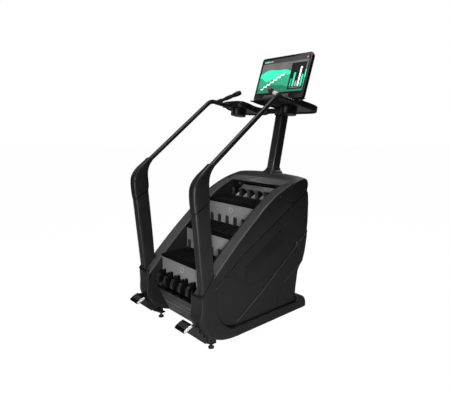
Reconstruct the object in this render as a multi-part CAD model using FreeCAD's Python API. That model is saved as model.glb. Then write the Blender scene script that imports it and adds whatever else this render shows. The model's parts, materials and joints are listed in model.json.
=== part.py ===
import FreeCAD, Part
import math
import os

# Stair climber for a gym: an inclined loop of hinged treads and risers between two
# chains, in a moulded housing, with uprights, handrails, a console mast and a screen.
# Millimetres, +Z up, X across (right hand positive), +Y from the entry towards the
# console. Heights are from the floor. Y in the design data is taken from the line of
# the front feet and moved by Y_CENTRE so that the origin is the middle of the footprint.

Y_CENTRE = 466.57

# --- stairs -------------------------------------------------------------------
RISE = 203.0              # one step up
RUN = 252.0               # one step forward
INCLINE = math.atan2(RISE, RUN)
PITCH = math.hypot(RISE, RUN)     # chain length of one step
STEP_HALF = 280.0         # half the width of a tread
NOSE_1 = (-9.0, 582.0)    # nose line of the lowest full step
TREAD_T = 24.0            # thickness of a tread at its nose
RISER_T = 10.0
SLOT_W = 48.0             # comb slots in the risers
SLOT_H = 76.0
SLOT_X = (-250.0, -150.0, -50.0, 50.0, 150.0, 250.0)
FINGER_W = 42.0           # tread fingers that run in the slots
FINGER_R = 68.0
HINGE_GAP = 9.0           # each plate stops this far from its hinge line
TOP_R = 130.0             # pitch radius of the upper sprockets
LOW_R = 70.0              # pitch radius of the lower sprockets
CHAIN_X0, CHAIN_X1 = 293.0, 303.0

# --- housing ------------------------------------------------------------------
SIDE_X = 400.0            # outer face of the side panels
SKIRT_X = 420.0
STRINGER_IN = 290.0       # inner edge of the stringer caps
WALL = 8.0
FLOOR_GAP = 56.0          # underside of the skirt

# --- uprights and rails ---------------------------------------------------------
RAIL_X = 389.0
RAIL_D = 38.0
POST_HALF = 33.0
RAIL_FALL = 0.19          # the rear leg of the rails falls this much per unit of run

# --- console --------------------------------------------------------------------
SCREEN_W = 574.0
SCREEN_H = 407.0
SCREEN_TILT = 19.0        # degrees back from upright
SCREEN_FOOT = (1030.0, 1841.0)   # lower front edge of the screen, Y and Z

nodes = {}


def vec(x, y, z):
    return FreeCAD.Vector(x, y - Y_CENTRE, z)


def outline(segments, x):
    """Closed wire in a plane of constant x: two points make a line, more a spline."""
    edges = []
    for seg in segments:
        pts = [vec(x, p[0], p[1]) for p in seg]
        if len(pts) == 2:
            edges.append(Part.makeLine(pts[0], pts[1]))
        else:
            curve = Part.BSplineCurve()
            curve.interpolate(pts)
            edges.append(curve.toShape())
    return Part.Wire(edges)


def prism(segments, x0, x1):
    return Part.Face(outline(segments, x0)).extrude(FreeCAD.Vector(x1 - x0, 0, 0))


def poly(points, x0, x1):
    ring = list(points) + [points[0]]
    return prism([(ring[i], ring[i + 1]) for i in range(len(points))], x0, x1)


def block(x0, x1, y0, y1, z0, z1):
    return Part.makeBox(x1 - x0, y1 - y0, z1 - z0, vec(x0, y0, z0))


def rod(a, b, r):
    axis = b - a
    return Part.makeCylinder(r, axis.Length, a, axis)


def cross_rod(y, z, x0, x1, r):
    return Part.makeCylinder(r, x1 - x0, vec(x0, y, z), FreeCAD.Vector(1, 0, 0))


def mirrored(shape):
    return shape.mirror(FreeCAD.Vector(0, 0, 0), FreeCAD.Vector(1, 0, 0))


def pair(name, shape):
    """One node for two equal pieces, right and left."""
    nodes[name] = Part.makeCompound([shape, mirrored(shape)])


def fuse(parts):
    out = parts[0]
    for p in parts[1:]:
        out = out.fuse(p)
    return out.removeSplitter()


def soften(shape, radius, pick):
    """Fillet the edges that pick() accepts; the shape stays as it is if none can be."""
    edges = [e for e in shape.Edges if pick(e)]
    try:
        out = shape.makeFillet(radius, edges)
        if out.isValid() and out.Volume > 0:
            return out
    except Exception:
        pass
    return shape


def along(e, axis):
    a, b = e.Vertexes[0].Point, e.Vertexes[-1].Point
    d = b - a
    return d.Length > 1 and abs(abs(getattr(d, axis)) - d.Length) < 1e-3


def strip(points, t, x0, x1):
    """A wall of thickness t on the inner side of a line of points."""
    inner = []
    for i, p in enumerate(points):
        a, b = points[max(i - 1, 0)], points[min(i + 1, len(points) - 1)]
        dy, dz = b[0] - a[0], b[1] - a[1]
        n = math.hypot(dy, dz)
        inner.append((p[0] + t * dz / n, p[1] - t * dy / n))
    inner.reverse()
    return prism([points, (points[-1], inner[0]), inner, (inner[-1], points[0])], x0, x1)


def tube(points, radii, r):
    """Round bar along straight runs joined by tangent arcs."""
    edges, start = [], points[0]
    for i in range(1, len(points) - 1):
        p, rad = points[i], radii[i - 1]
        u = (points[i - 1] - p).normalize()
        w = (points[i + 1] - p).normalize()
        half = u.getAngle(w) / 2
        cut = rad / math.tan(half)
        a, b = p + u * cut, p + w * cut
        mid_dir = (u + w).normalize()
        mid = p + mid_dir * (rad / math.sin(half) - rad)
        edges.append(Part.makeLine(start, a))
        edges.append(Part.Arc(a, mid, b).toShape())
        start = b
    edges.append(Part.makeLine(start, points[-1]))
    path = Part.Wire(edges)
    ring = Part.Wire(Part.makeCircle(r, points[0], points[1] - points[0]))
    return path.makePipeShell([ring], True, False)


# --- the loop of treads and risers ------------------------------------------------
UP = (math.cos(INCLINE), math.sin(INCLINE))        # along the front run, upwards
OUT = (-math.sin(INCLINE), math.cos(INCLINE))      # out of the front run


def shift(p, du, dn=0.0):
    return (p[0] + du * UP[0] + dn * OUT[0], p[1] + du * UP[1] + dn * OUT[1])


def meet(c1, r1, c2, r2):
    """Where two links of lengths r1, r2 from c1, c2 join, to the left of c1 to c2."""
    dy, dz = c2[0] - c1[0], c2[1] - c1[1]
    d = math.hypot(dy, dz)
    a = (r1 * r1 - r2 * r2 + d * d) / (2 * d)
    h = math.sqrt(r1 * r1 - a * a)
    return (c1[0] + a * dy / d - h * dz / d, c1[1] + a * dz / d + h * dy / d)


HINGE_1 = (NOSE_1[0], NOSE_1[1] - RISE)            # foot of the lowest riser, on the chain
FRONT_RUN = 3 * PITCH - 18.0                       # from HINGE_1 up to the upper tangent
LOW_RUN = 40.0                                     # from HINGE_1 down to the lower tangent
LOW_C = shift(HINGE_1, -LOW_RUN, -LOW_R)           # lower shaft
TOP_C = shift(HINGE_1, FRONT_RUN, -TOP_R)          # upper shaft
SHAFTS = math.hypot(TOP_C[0] - LOW_C[0], TOP_C[1] - LOW_C[1])
TAPER = math.asin((TOP_R - LOW_R) / SHAFTS)
TOP_TURN = math.pi + 2 * TAPER                     # wrap of the chain on the upper sprocket
RETURN_DIR = INCLINE - TOP_TURN                    # down the return run


def on_chain(s):
    """Point of the chain's pitch line, s measured from HINGE_1 up the front run."""
    if s <= FRONT_RUN:
        return shift(HINGE_1, s)
    start = INCLINE + math.pi / 2
    phi = min((s - FRONT_RUN) / TOP_R, TOP_TURN)
    a = start - phi
    rest = s - FRONT_RUN - phi * TOP_R
    return (TOP_C[0] + TOP_R * math.cos(a) + rest * math.cos(RETURN_DIR),
            TOP_C[1] + TOP_R * math.sin(a) + rest * math.sin(RETURN_DIR))


RETURN_PITCH = PITCH - 15.0                        # slack of the return run
FEET = [on_chain(i * PITCH) for i in range(5)]     # hinge lines on the chain
FEET += [on_chain(4 * PITCH + i * RETURN_PITCH) for i in (1, 2, 3)]
NOSES = [meet(FEET[i], RISE, FEET[(i + 1) % 8], RUN) for i in range(8)]


def frame_on(a, b, shape):
    """Lay a plate drawn along +Y from the feet-line origin onto the line a to b."""
    angle = math.degrees(math.atan2(b[1] - a[1], b[0] - a[0]))
    shape.rotate(FreeCAD.Vector(0, 0, 0), FreeCAD.Vector(1, 0, 0), angle)
    shape.translate(vec(0, a[0], a[1]))
    return shape


def local_box(x0, x1, y0, y1, z0, z1):
    return Part.makeBox(x1 - x0, y1 - y0, z1 - z0, FreeCAD.Vector(x0, y0, z0))


def make_tread(nose, foot):
    """Ribbed tread plate from its nose back to its hinge, with fingers at the rear."""
    w = STEP_HALF
    plate = local_box(-w, w, -8.0, RUN - HINGE_GAP - 4, -TREAD_T, 0.0)
    plate = soften(plate, 6.0, lambda e: along(e, "x") and e.BoundBox.YMax < -7.0)
    plate = plate.cut(local_box(-w - 1, w + 1, -3.0, 48.0, -TREAD_T - 1, -6.0))
    for i in range(5):
        y = 8.0 + 12.0 * i
        plate = plate.cut(local_box(-w + 12, w - 12, y, y + 5.0, -2.5, 1.0))
    fingers = []
    for x in SLOT_X:
        disc = Part.makeCylinder(FINGER_R, FINGER_W, FreeCAD.Vector(x - FINGER_W / 2, RUN, 0),
                                 FreeCAD.Vector(1, 0, 0))
        keep = local_box(x - FINGER_W / 2, x + FINGER_W / 2, RUN + 2.0, RUN + 90, -8.0, 90.0)
        root = local_box(x - FINGER_W / 2, x + FINGER_W / 2, RUN - 20, RUN + 10, -18.0, -1.0)
        fingers.append(disc.common(keep).fuse(root))
    return frame_on(nose, foot, fuse([plate] + fingers))


def make_riser(foot, nose):
    """Riser plate from its hinge up to the nose of the tread above, slotted below."""
    w = STEP_HALF
    plate = local_box(-w, w, HINGE_GAP, RISE - 22.0, -RISER_T, 0.0)
    for x in SLOT_X:
        plate = plate.cut(local_box(x - SLOT_W / 2, x + SLOT_W / 2, -5.0, SLOT_H + 2, -20.0, 5.0))
    knuckles = [local_box(x - 30, x + 30, RISE - 23.0, RISE - 12.0, -3.0, 0.0)
                for x in (-200.0, -100.0, 0.0, 100.0, 200.0)]
    return frame_on(foot, nose, fuse([plate] + knuckles))


def make_steps():
    for i in (0, 1, 2, 3, 4, 7):
        nodes["riser_%d" % (i + 1)] = make_riser(FEET[i], NOSES[i])
        nodes["tread_%d" % (i + 1)] = make_tread(NOSES[i], FEET[(i + 1) % 8])
    nodes["return_run"] = Part.makeCompound(
        RETURN + [make_riser(FEET[i], NOSES[i]) for i in (5, 6)]
        + [make_tread(NOSES[i], FEET[i + 1]) for i in (5, 6)])


# --- chains, sprockets, shafts ------------------------------------------------------
def chain_bar(p, q, x0, x1, h=14.0):
    """A straight run of chain as one bar between two points of the pitch line."""
    dy, dz = q[0] - p[0], q[1] - p[1]
    n = math.hypot(dy, dz)
    ny, nz = -dz / n * h / 2, dy / n * h / 2
    return poly([(p[0] + ny, p[1] + nz), (q[0] + ny, q[1] + nz),
                 (q[0] - ny, q[1] - nz), (p[0] - ny, p[1] - nz)], x0, x1)


WRAPS = {}
RETURN = []


def make_chains():
    low_tan = shift(LOW_C, 0.0, LOW_R)
    top_tan = shift(TOP_C, 0.0, TOP_R)
    pins = [cross_rod(f[0], f[1], 282.0, CHAIN_X1, 4.0) for f in FEET]
    front = chain_bar(low_tan, top_tan, CHAIN_X0, CHAIN_X1)
    lug = poly([shift(top_tan, -0.5, 6.0), shift(top_tan, -0.5, 0.0), shift(FEET[3], 4, 1.0),
                shift(FEET[3], 4, 7.0)], CHAIN_X0, CHAIN_X1)
    pair("front_chains", fuse([front, lug] + pins[:4]))
    n = (math.cos(RETURN_DIR + math.pi / 2), math.sin(RETURN_DIR + math.pi / 2))
    a = (TOP_C[0] + TOP_R * n[0], TOP_C[1] + TOP_R * n[1])
    b = (LOW_C[0] + LOW_R * n[0], LOW_C[1] + LOW_R * n[1])
    back = fuse([chain_bar(a, b, CHAIN_X0, CHAIN_X1)] + pins[5:])
    RETURN.extend([back, mirrored(back)])
    for name, c, r, top in (("upper", TOP_C, TOP_R, True), ("lower", LOW_C, LOW_R, False)):
        ring = cross_rod(c[0], c[1], CHAIN_X0, CHAIN_X1, r + 6.0)
        ring = ring.cut(cross_rod(c[0], c[1], CHAIN_X0 - 1, CHAIN_X1 + 1, r - 6.0))
        far, side = 400.0, (5.0 if top else -10.0)
        tip = shift(c, side, far)
        end = (c[0] + far * n[0] - side * n[1], c[1] + far * n[1] + side * n[0])
        push = 600.0 if not top else -600.0
        cut = poly([c, tip, (tip[0] + push * UP[0], tip[1] + push * UP[1]),
                    (end[0] + push * UP[0], end[1] + push * UP[1]), end],
                   CHAIN_X0 - 1, CHAIN_X1 + 1)
        ring = ring.cut(cut)
        if top:
            ring = ring.cut(cross_rod(FEET[3][0], FEET[3][1], 290, 310, 18.0))
            lugs = fuse([chain_bar(c, FEET[4], 287.0, 292.5, 24.0), pins[4]])
            ring = fuse([ring, lugs.cut(cross_rod(c[0], c[1], 280.0, 310.0, 30.0))])
        WRAPS[name] = ring


def sprocket(c, r, teeth, x0, x1):
    """Toothed disc with its chain wrap left open on the side of the straight runs."""
    disc = cross_rod(c[0], c[1], x0, x1, r - 12.0)
    rim = [Part.makeCylinder(5.0, x1 - x0, vec(x0, c[0] + (r - 12.0) * math.cos(a),
                                              c[1] + (r - 12.0) * math.sin(a)),
                             FreeCAD.Vector(1, 0, 0))
           for a in (2 * math.pi * i / teeth for i in range(teeth))]
    holes = [cross_rod(c[0] + r * 0.52 * math.cos(a), c[1] + r * 0.52 * math.sin(a),
                       x0 - 1, x1 + 1, r * 0.16) for a in (i * math.pi / 3 for i in range(6))]
    out = fuse([disc] + rim)
    for h in holes:
        out = out.cut(h)
    return out


def make_shafts():
    for name, c, r, teeth in (("upper", TOP_C, TOP_R, 26), ("lower", LOW_C, LOW_R, 14)):
        shaft = cross_rod(c[0], c[1], -316.0, 316.0, 15.0)
        bore = cross_rod(c[0], c[1], -330.0, 330.0, 15.0)
        wheel = fuse([sprocket(c, r, teeth, 294.0, 302.0).cut(bore), WRAPS[name]])
        wheel = fuse([wheel, cross_rod(c[0], c[1], 286.0, 307.6, 28.0).cut(bore)])
        if name == "lower":
            shaft = shaft.cut(cross_rod(c[0], c[1], -286.0, 286.0, 16.0))
        nodes[name + "_shaft"] = Part.makeCompound(shaft.Solids + [wheel, mirrored(wheel)])


SIDE_PLATE_X = (318.0, 324.0)


def make_frame():
    """Welded base, two side plates with their bearings, and the cross members."""
    x = 330.0
    rails = [block(x, x + 40, 20.0, 960.0, 74.0, 114.0), block(-x - 40, -x, 20.0, 960.0, 74.0, 114.0)]
    cross = [block(-x, x, 115.0, 155.0, 74.0, 94.0), block(-x, x, 900.0, 940.0, 74.0, 114.0),
             block(-x, x, 520.0, 560.0, 74.0, 114.0)]
    nodes["base_frame"] = fuse(rails + cross)
    plate = poly([(-30.0, 250.0), (60.0, 114.0), (850.0, 114.0), (850.0, 240.0), (885.0, 430.0),
                  (960.0, 600.0), (975.0, 1060.0), (820.0, 1090.0), (560.0, 960.0), (-30.0, 490.0)],
                 *SIDE_PLATE_X)
    for c, r in ((TOP_C, 24.0), (LOW_C, 24.0)):
        plate = plate.cut(cross_rod(c[0], c[1], 300.0, 340.0, r))
    plate = plate.cut(poly([(400.0, 300.0), (620.0, 190.0), (850.0, 190.0), (850.0, 540.0),
                            (400.0, 375.0)], 300.0, 340.0))
    plate = plate.fuse(block(324.0, 330.0, 60.0, 850.0, 114.0, 134.0))
    foot = block(324.0, 366.0, 60.0, 850.0, 114.0, 120.0)
    rings = []
    for name, c in (("upper", TOP_C), ("lower", LOW_C)):
        ring = cross_rod(c[0], c[1], 308.0, 324.0, 24.0).cut(cross_rod(c[0], c[1], 300, 330, 15.04))
        rings.append(ring)
    pair("side_plates", Part.makeCompound([fuse([plate, foot])] + rings))


# --- drive: belt from the upper shaft down to the generator brake ------------------
DRIVE_X = (334.0, 352.0)
BIG_R, SMALL_R = 120.0, 32.0
BRAKE_Y, BRAKE_Z = 640.0, 330.0


def belt_loop(c1, r1, c2, r2, x0, x1, t=4.0):
    """Flat belt round two pulleys: outer loop less inner loop."""
    def hull(g):
        d = math.hypot(c2[0] - c1[0], c2[1] - c1[1])
        base = math.atan2(c2[1] - c1[1], c2[0] - c1[0])
        off = math.acos((r1 - r2) / d)
        p = []
        for s in (1, -1):
            a = base + s * off
            p.append(((c1[0] + (r1 + g) * math.cos(a), c1[1] + (r1 + g) * math.sin(a)),
                      (c2[0] + (r2 + g) * math.cos(a), c2[1] + (r2 + g) * math.sin(a))))
        body = poly([p[0][0], p[0][1], p[1][1], p[1][0]], x0, x1)
        return fuse([body, cross_rod(c1[0], c1[1], x0, x1, r1 + g),
                     cross_rod(c2[0], c2[1], x0, x1, r2 + g)])
    return hull(t + 0.1).cut(hull(0.1))


def make_drive():
    brake = (BRAKE_Y, BRAKE_Z)
    x0, x1 = DRIVE_X
    big = cross_rod(TOP_C[0], TOP_C[1], x0, x1, BIG_R)
    for i in range(5):
        a = 2 * math.pi * i / 5
        big = big.cut(cross_rod(TOP_C[0] + 70 * math.cos(a), TOP_C[1] + 70 * math.sin(a),
                                x0 - 1, x1 + 1, 24.0))
    hub = cross_rod(TOP_C[0], TOP_C[1], 316.0, x0, 15.0)
    nodes["drive_pulley"] = fuse([big, hub])
    nodes["brake_pulley"] = fuse([cross_rod(brake[0], brake[1], x0, x1, SMALL_R),
                                  cross_rod(brake[0], brake[1], 300.0, x0, 9.0)])
    nodes["drive_belt"] = belt_loop(TOP_C, BIG_R, brake, SMALL_R, x0 + 2, x1 - 2)
    body = cross_rod(brake[0], brake[1], 180.0, 300.0, 78.0)
    bore = cross_rod(brake[0], brake[1], 290.0, 301.0, 9.3)
    feet = block(200.0, 290.0, brake[0] - 70, brake[0] + 70, 114.0, 262.0)
    feet = feet.cut(block(212.0, 278.0, brake[0] - 80, brake[0] + 80, 126.0, 262.0))
    base = block(190.0, 300.0, 560.0, 730.0, 114.0, 120.0)
    nodes["generator_brake"] = fuse([body, feet.cut(body), base]).cut(bore).cut(
        cross_rod(brake[0], brake[1], 296.0, 301.0, 9.3))
    nodes["control_box"] = soften(block(-290.0, -90.0, 600.0, 840.0, 114.3, 174.0), 8.0,
                                  lambda e: along(e, "z"))


# --- housing -------------------------------------------------------------------------
TOP_CURVE = [(-15.0, 560.0), (90.0, 660.0), (210.0, 767.0), (377.0, 905.0), (500.0, 1000.0),
             (600.0, 1065.0), (700.0, 1112.0), (790.0, 1145.0)]
GROOVE = [(-7.0, 478.0), (258.0, 663.0), (997.0, 1078.0)]
BACK = [(997.0, 1078.0), (1008.0, 1060.0), (1014.0, 999.0), (1019.0, 939.0), (1015.0, 813.0),
        (1003.0, 660.0)]
BACK_LOW = [(1003.0, 660.0), (982.0, 545.0), (957.0, 474.0), (920.0, 436.0)]
BOOT_OUT = [(-150.0, 435.0), (-143.0, 340.0), (-128.0, 275.0), (-80.0, 186.0), (-12.0, 129.0),
            (57.0, 87.0), (121.0, 61.0), (178.0, 54.0)]
BOOT_KEEL = [(-150.0, 435.0), (-150.0, 345.0), (-158.0, 259.0), (-106.0, 164.0),
             (-32.0, 103.0), (43.0, 66.0), (118.0, 54.0), (178.0, 54.0)]
BOOT_IN = [(171.0, 137.0), (101.0, 160.0), (20.0, 234.0), (-13.0, 320.0), (-26.0, 440.0),
           (-34.0, 557.0)]
RIDGE = 134.0


def make_side_panels():
    """Main side panel, from the accent groove down to the boot and the skirt."""
    inner = [(171.0, 139.0), (101.0, 162.0), (22.0, 235.0), (-11.0, 321.0), (-22.0, 400.0),
             (-25.0, 462.0)]
    panel = prism([inner, (inner[-1], (-7.0, 476.0)), ((-7.0, 476.0), (258.0, 661.0)),
                   ((258.0, 661.0), (997.0, 1076.0)),
                   [(997.0, 1076.0)] + BACK[1:], BACK_LOW, ((920.0, 436.0), (900.0, 400.0)),
                   ((900.0, 400.0), (871.0, 232.0)), ((871.0, 232.0), (871.0, RIDGE + 3)),
                   ((871.0, RIDGE + 3), (171.0, 139.0))], SIDE_X - WALL, SIDE_X)
    pair("side_panels", panel)


def make_stringers():
    """Sloping cap over each side, with the side wall under it down to the groove."""
    lower = [(p[0] + 6.0, p[1] - 9.0) for p in TOP_CURVE]
    cap = prism([TOP_CURVE, (TOP_CURVE[-1], lower[-1]), list(reversed(lower)),
                 (lower[0], TOP_CURVE[0])], STRINGER_IN, SIDE_X)
    wall = prism([TOP_CURVE, (TOP_CURVE[-1], (790.0, 962.0)), ((790.0, 962.0), (258.0, 663.0)),
                  ((258.0, 663.0), (-7.0, 478.0)), ((-7.0, 478.0), (-24.0, 466.0)),
                  ((-24.0, 466.0), (-30.0, 545.0)), ((-30.0, 545.0), TOP_CURVE[0])],
                 SIDE_X - WALL, SIDE_X)
    nose = poly([(-142.0, 430.0), (-15.0, 560.0), (-9.0, 551.0), (-131.0, 418.0)],
                STRINGER_IN, RAIL_X - POST_HALF - 1)
    shape = soften(fuse([cap, wall, nose]), 7.0,
                   lambda e: e.BoundBox.XMin > SIDE_X - 1 and e.BoundBox.YLength > 600
                   and e.BoundBox.ZMax > 1140)
    pair("stringers", shape)


def make_cheeks():
    """Dark inner wall between each stringer and the ends of the steps."""
    top = [(p[0] + 7.0, p[1] - 10.5) for p in TOP_CURVE]
    low = [shift(HINGE_1, s, 14.0) for s in (0.0, FRONT_RUN - 10)]
    wall = prism([top, (top[-1], (797.0, 1060.0)), ((797.0, 1060.0), low[1]), (low[1], low[0]),
                  (low[0], (-60.0, 400.0)), ((-60.0, 400.0), (-118.0, 430.0)),
                  ((-118.0, 430.0), top[0])], 284.0, 289.0)
    front = prism([[(-118.0, 430.0), (-124.0, 340.0), (-110.0, 275.0), (-64.0, 196.0),
                    (0.0, 140.0), (60.0, 98.0)], ((60.0, 98.0), (66.0, 112.0)),
                   [(66.0, 112.0), (18.0, 152.0), (-12.0, 215.0), (-56.0, 300.0),
                    (-60.0, 400.0)], ((-60.0, 400.0), (-118.0, 430.0))], 284.0, 289.0)
    pair("cheeks", fuse([wall, front]))


CROWN_R = 2580.0          # the crown arches across the machine on this radius


def make_top_cover():
    """Cover over the upper sprockets, with the lip above the top step."""
    crown = [(791.0, 1146.0), (860.0, 1165.0), (925.0, 1179.0), (965.0, 1186.0)]
    rear = [(965.0, 1186.0), (998.0, 1176.0), (1016.0, 1140.0), (1012.0, 1090.0)]
    outer = prism([crown, rear, ((1012.0, 1090.0), (997.0, 1080.0)),
                   ((997.0, 1080.0), (791.0, 964.5)), ((791.0, 964.5), crown[0])],
                  -SIDE_X, SIDE_X)
    inner = prism([[(p[0] - 1.0, p[1] - 9.0) for p in crown],
                   ((964.0, 1177.0), (988.0, 1168.0)), ((988.0, 1168.0), (1004.0, 1140.0)),
                   ((1004.0, 1140.0), (1000.0, 1050.0)), ((1000.0, 1050.0), (770.0, 920.0)),
                   ((770.0, 920.0), (790.0, 1137.0))], -SIDE_X + WALL, SIDE_X - WALL)
    shell = outer.cut(inner)
    lip = prism([((782.0, 1143.0), (791.0, 1146.0)), ((791.0, 1146.0), (791.0, 1122.0)),
                 ((791.0, 1122.0), (782.0, 1126.0)), ((782.0, 1126.0), (782.0, 1143.0))],
                -STRINGER_IN + 1, STRINGER_IN - 1)
    apron = block(-STRINGER_IN + 1, STRINGER_IN - 1, 790.9, 799.0, 1122.0, 1146.0)
    shell = soften(shell, 9.0, lambda e: abs(abs(e.BoundBox.XMin) - SIDE_X) < 1
                   and e.BoundBox.XLength < 1 and e.BoundBox.ZMin > 1088)
    hump = [[(796.0, 1146.5), (860.0, 1168.0), (925.0, 1190.0), (968.0, 1203.0), (990.0, 1199.0),
             (1006.0, 1180.0), (1014.0, 1146.0)], ((1014.0, 1146.0), (1008.0, 1143.0)),
            ((1008.0, 1143.0), (988.0, 1171.0)), ((988.0, 1171.0), (965.0, 1179.0)),
            ((965.0, 1179.0), (925.0, 1172.0)), ((925.0, 1172.0), (860.0, 1158.0)),
            ((860.0, 1158.0), (796.0, 1140.0)), ((796.0, 1140.0), (796.0, 1146.5))]
    rise = math.atan2(57.0, 172.0)
    crown_at = vec(0.0, 796.0 + CROWN_R * math.sin(rise), 1147.0 - CROWN_R * math.cos(rise))
    drum = Part.makeCylinder(CROWN_R, 300.0, crown_at, FreeCAD.Vector(0, math.cos(rise),
                                                                      math.sin(rise)))
    dome = prism(hump, -SIDE_X + 20, SIDE_X - 20).common(drum)
    nodes["top_cover"] = fuse([shell, dome, lip, apron])


def make_back():
    w = SIDE_X - WALL - 0.5
    upper = [(1001.0, 1104.0), (1004.0, 1062.0)] + [(p[0] - 1.0, p[1]) for p in BACK[2:]]
    top = strip(list(reversed(upper)), -3.0, -w, w)
    low = [(p[0] - 1.0, p[1]) for p in BACK_LOW] + [(899.0, 398.0), (868.0, 232.0), (868.0, 190.0)]
    low[0] = (1001.5, 656.0)
    top = top.cut(nodes["top_cover"])
    nodes["rear_cover"] = Part.makeCompound([top, strip(list(reversed(low)), -6.0, -w, w)])
    tail = prism([((871.0, 192.0), (904.0, 192.0)), [(904.0, 192.0), (950.0, 168.0),
                 (985.0, 140.0), (996.0, 118.0)], ((996.0, 118.0), (1001.0, 62.0)),
                 ((1001.0, 62.0), (985.0, FLOOR_GAP)), ((985.0, FLOOR_GAP), (905.0, FLOOR_GAP)),
                 ((905.0, FLOOR_GAP), (871.0, 192.0))], -SIDE_X + 1, SIDE_X - 1)
    hollow = prism([((860.0, 184.0), (902.0, 184.0)), [(902.0, 184.0), (944.0, 162.0),
                   (977.0, 136.0), (988.0, 116.0)], ((988.0, 116.0), (993.0, 50.0)),
                   ((993.0, 50.0), (860.0, 50.0)), ((860.0, 50.0), (860.0, 184.0))],
                  -SIDE_X + 9, SIDE_X - 9)
    nodes["rear_base_cover"] = tail.cut(hollow)


def make_skirts():
    """Low outer skirt on each side and the curved boot round the foot of each upright."""
    y0 = 179.0
    skirt = prism([((y0, FLOOR_GAP), (985.0, FLOOR_GAP)), ((985.0, FLOOR_GAP), (1001.0, 64.0)),
                   [(1001.0, 64.0), (996.0, 118.0), (985.0, 140.0), (950.0, 168.0),
                    (904.0, 192.0)], ((904.0, 192.0), (872.0, 192.0)),
                   ((872.0, 192.0), (872.0, RIDGE)), ((872.0, RIDGE), (y0, RIDGE + 2)),
                   ((y0, RIDGE + 2), (y0, FLOOR_GAP))], SIDE_X + 0.5, SKIRT_X)
    web = block(SIDE_X - 20, SIDE_X + 0.5, y0, 868.0, FLOOR_GAP, FLOOR_GAP + 6)
    skirt = soften(fuse([skirt, web]), 8.0,
                   lambda e: e.BoundBox.XMin > SKIRT_X - 1 and e.BoundBox.XLength < 1)
    pair("skirts", skirt)
    top = [(-34.0, 590.0), (-150.0, 448.0)]
    ring = [BOOT_OUT, ((178.0, 54.0), (178.0, 137.0)), [(178.0, 137.0)] + BOOT_IN[1:],
            (BOOT_IN[-1], top[0]), (top[0], top[1]), (top[1], BOOT_OUT[0])]
    x0 = 306.0
    keel = prism([BOOT_KEEL, ((178.0, 54.0), (178.0, 137.0)), [(178.0, 137.0)] + BOOT_IN[1:],
                  (BOOT_IN[-1], top[0]), (top[0], top[1]), (top[1], BOOT_KEEL[0])], x0, 388.0)
    body = fuse([prism(ring, x0, SKIRT_X + 5), keel])
    core = prism([[(p[0] + 7.0, p[1] + 7.0) for p in BOOT_OUT[:-1]],
                  ((128.0, 68.0), (190.0, 68.0)), ((190.0, 68.0), (190.0, 300.0)),
                  ((190.0, 300.0), (20.0, 700.0)), ((20.0, 700.0), (-143.0, 700.0)),
                  ((-143.0, 700.0), (-143.0, 442.0))], x0 + 7, SKIRT_X + 2)
    inner_cut = prism([[(-50.0, 620.0), (-62.0, 457.0), (-66.0, 330.0), (-40.0, 230.0),
                        (60.0, 130.0), (178.0, 90.0)], ((178.0, 90.0), (240.0, 90.0)),
                       ((240.0, 90.0), (240.0, 620.0)), ((240.0, 620.0), (-50.0, 620.0))],
                      x0 - 1, 392.0)
    lid = poly([(-160.0, 458.0), (-20.0, 458.0), (-20.0, 640.0), (-160.0, 640.0)], x0 - 1, 352.0)
    boot = body.cut(core).cut(inner_cut).cut(lid)
    boot = soften(boot, 12.0, lambda e: e.BoundBox.XMin > SKIRT_X + 4 and e.BoundBox.XLength < 1
                  and e.BoundBox.YMin < -Y_CENTRE - 100 and e.BoundBox.ZLength > 300)
    pair("boots", boot)


def make_kick_plate():
    """Sloping plate below the lowest step, grooved, with a comb along its top edge."""
    face = [(-58.0, 326.0), (-46.0, 292.0), (8.0, 176.0), (60.0, 70.0)]
    plate = strip([face[0], face[1], face[2], face[3]], -7.0, -283.0, 283.0)
    for z in (264.0, 212.0, 160.0, 110.0):
        y = 60.0 - (z - 70.0) * 0.468
        plate = plate.cut(cross_rod(y - 1.0, z, -284.0, 284.0, 3.5))
    for x in SLOT_X:
        plate = plate.cut(block(x - 25.0, x + 25.0, -120.0, 0.0, 302.0, 340.0))
    nodes["kick_plate"] = plate


# --- uprights, rails, trays -----------------------------------------------------------
POST_FRONT = [(-126.0, 330.0), (-138.0, 460.0), (-160.0, 700.0), (-190.0, 1035.0)]
POST_BACK = [(-67.0, 1108.0), (-45.0, 830.0), (-30.0, 600.0), (-20.0, 330.0)]


def make_uprights():
    x0, x1 = RAIL_X - POST_HALF, RAIL_X + POST_HALF
    low = prism([POST_FRONT, (POST_FRONT[-1], POST_BACK[0]), POST_BACK,
                 (POST_BACK[-1], POST_FRONT[0])], x0, x1)
    low = soften(low, 15.0, lambda e: e.BoundBox.XLength < 1 and e.BoundBox.ZLength > 500)
    front = [(-190.0, 1036.0), (-200.0, 1120.0), (-203.0, 1192.0), (-190.0, 1230.0),
             (-150.0, 1283.0), (-52.0, 1362.0)]
    back = [(-13.0, 1334.0), (-52.0, 1285.0), (-66.0, 1225.0), (-67.0, 1110.0)]
    elbow = prism([front, (front[-1], back[0]), back, (back[-1], front[0])], x0 - 1, x1 + 1)
    elbow = soften(elbow, 15.0, lambda e: e.BoundBox.XLength < 1 and e.BoundBox.ZLength > 200)
    core = RAILS["path"]
    pair("uprights", low)
    pair("elbows", elbow.cut(core))


RAILS = {}
BEND = (605.0, 1829.0)
TRAY_Y, TRAY_Z = 1062.0, 1829.0 - RAIL_FALL * (1062.0 - 605.0)


def make_rails():
    pts = [vec(RAIL_X, -125.0, 1829.0 - (605.0 + 125.0) * 0.762), vec(RAIL_X, BEND[0], BEND[1]),
           vec(RAIL_X, TRAY_Y, TRAY_Z), vec(48.0, TRAY_Y, TRAY_Z)]
    rail = tube(pts, [100.0, 62.0], RAIL_D / 2)
    RAILS["path"] = rail
    pair("handrails", rail)


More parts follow.
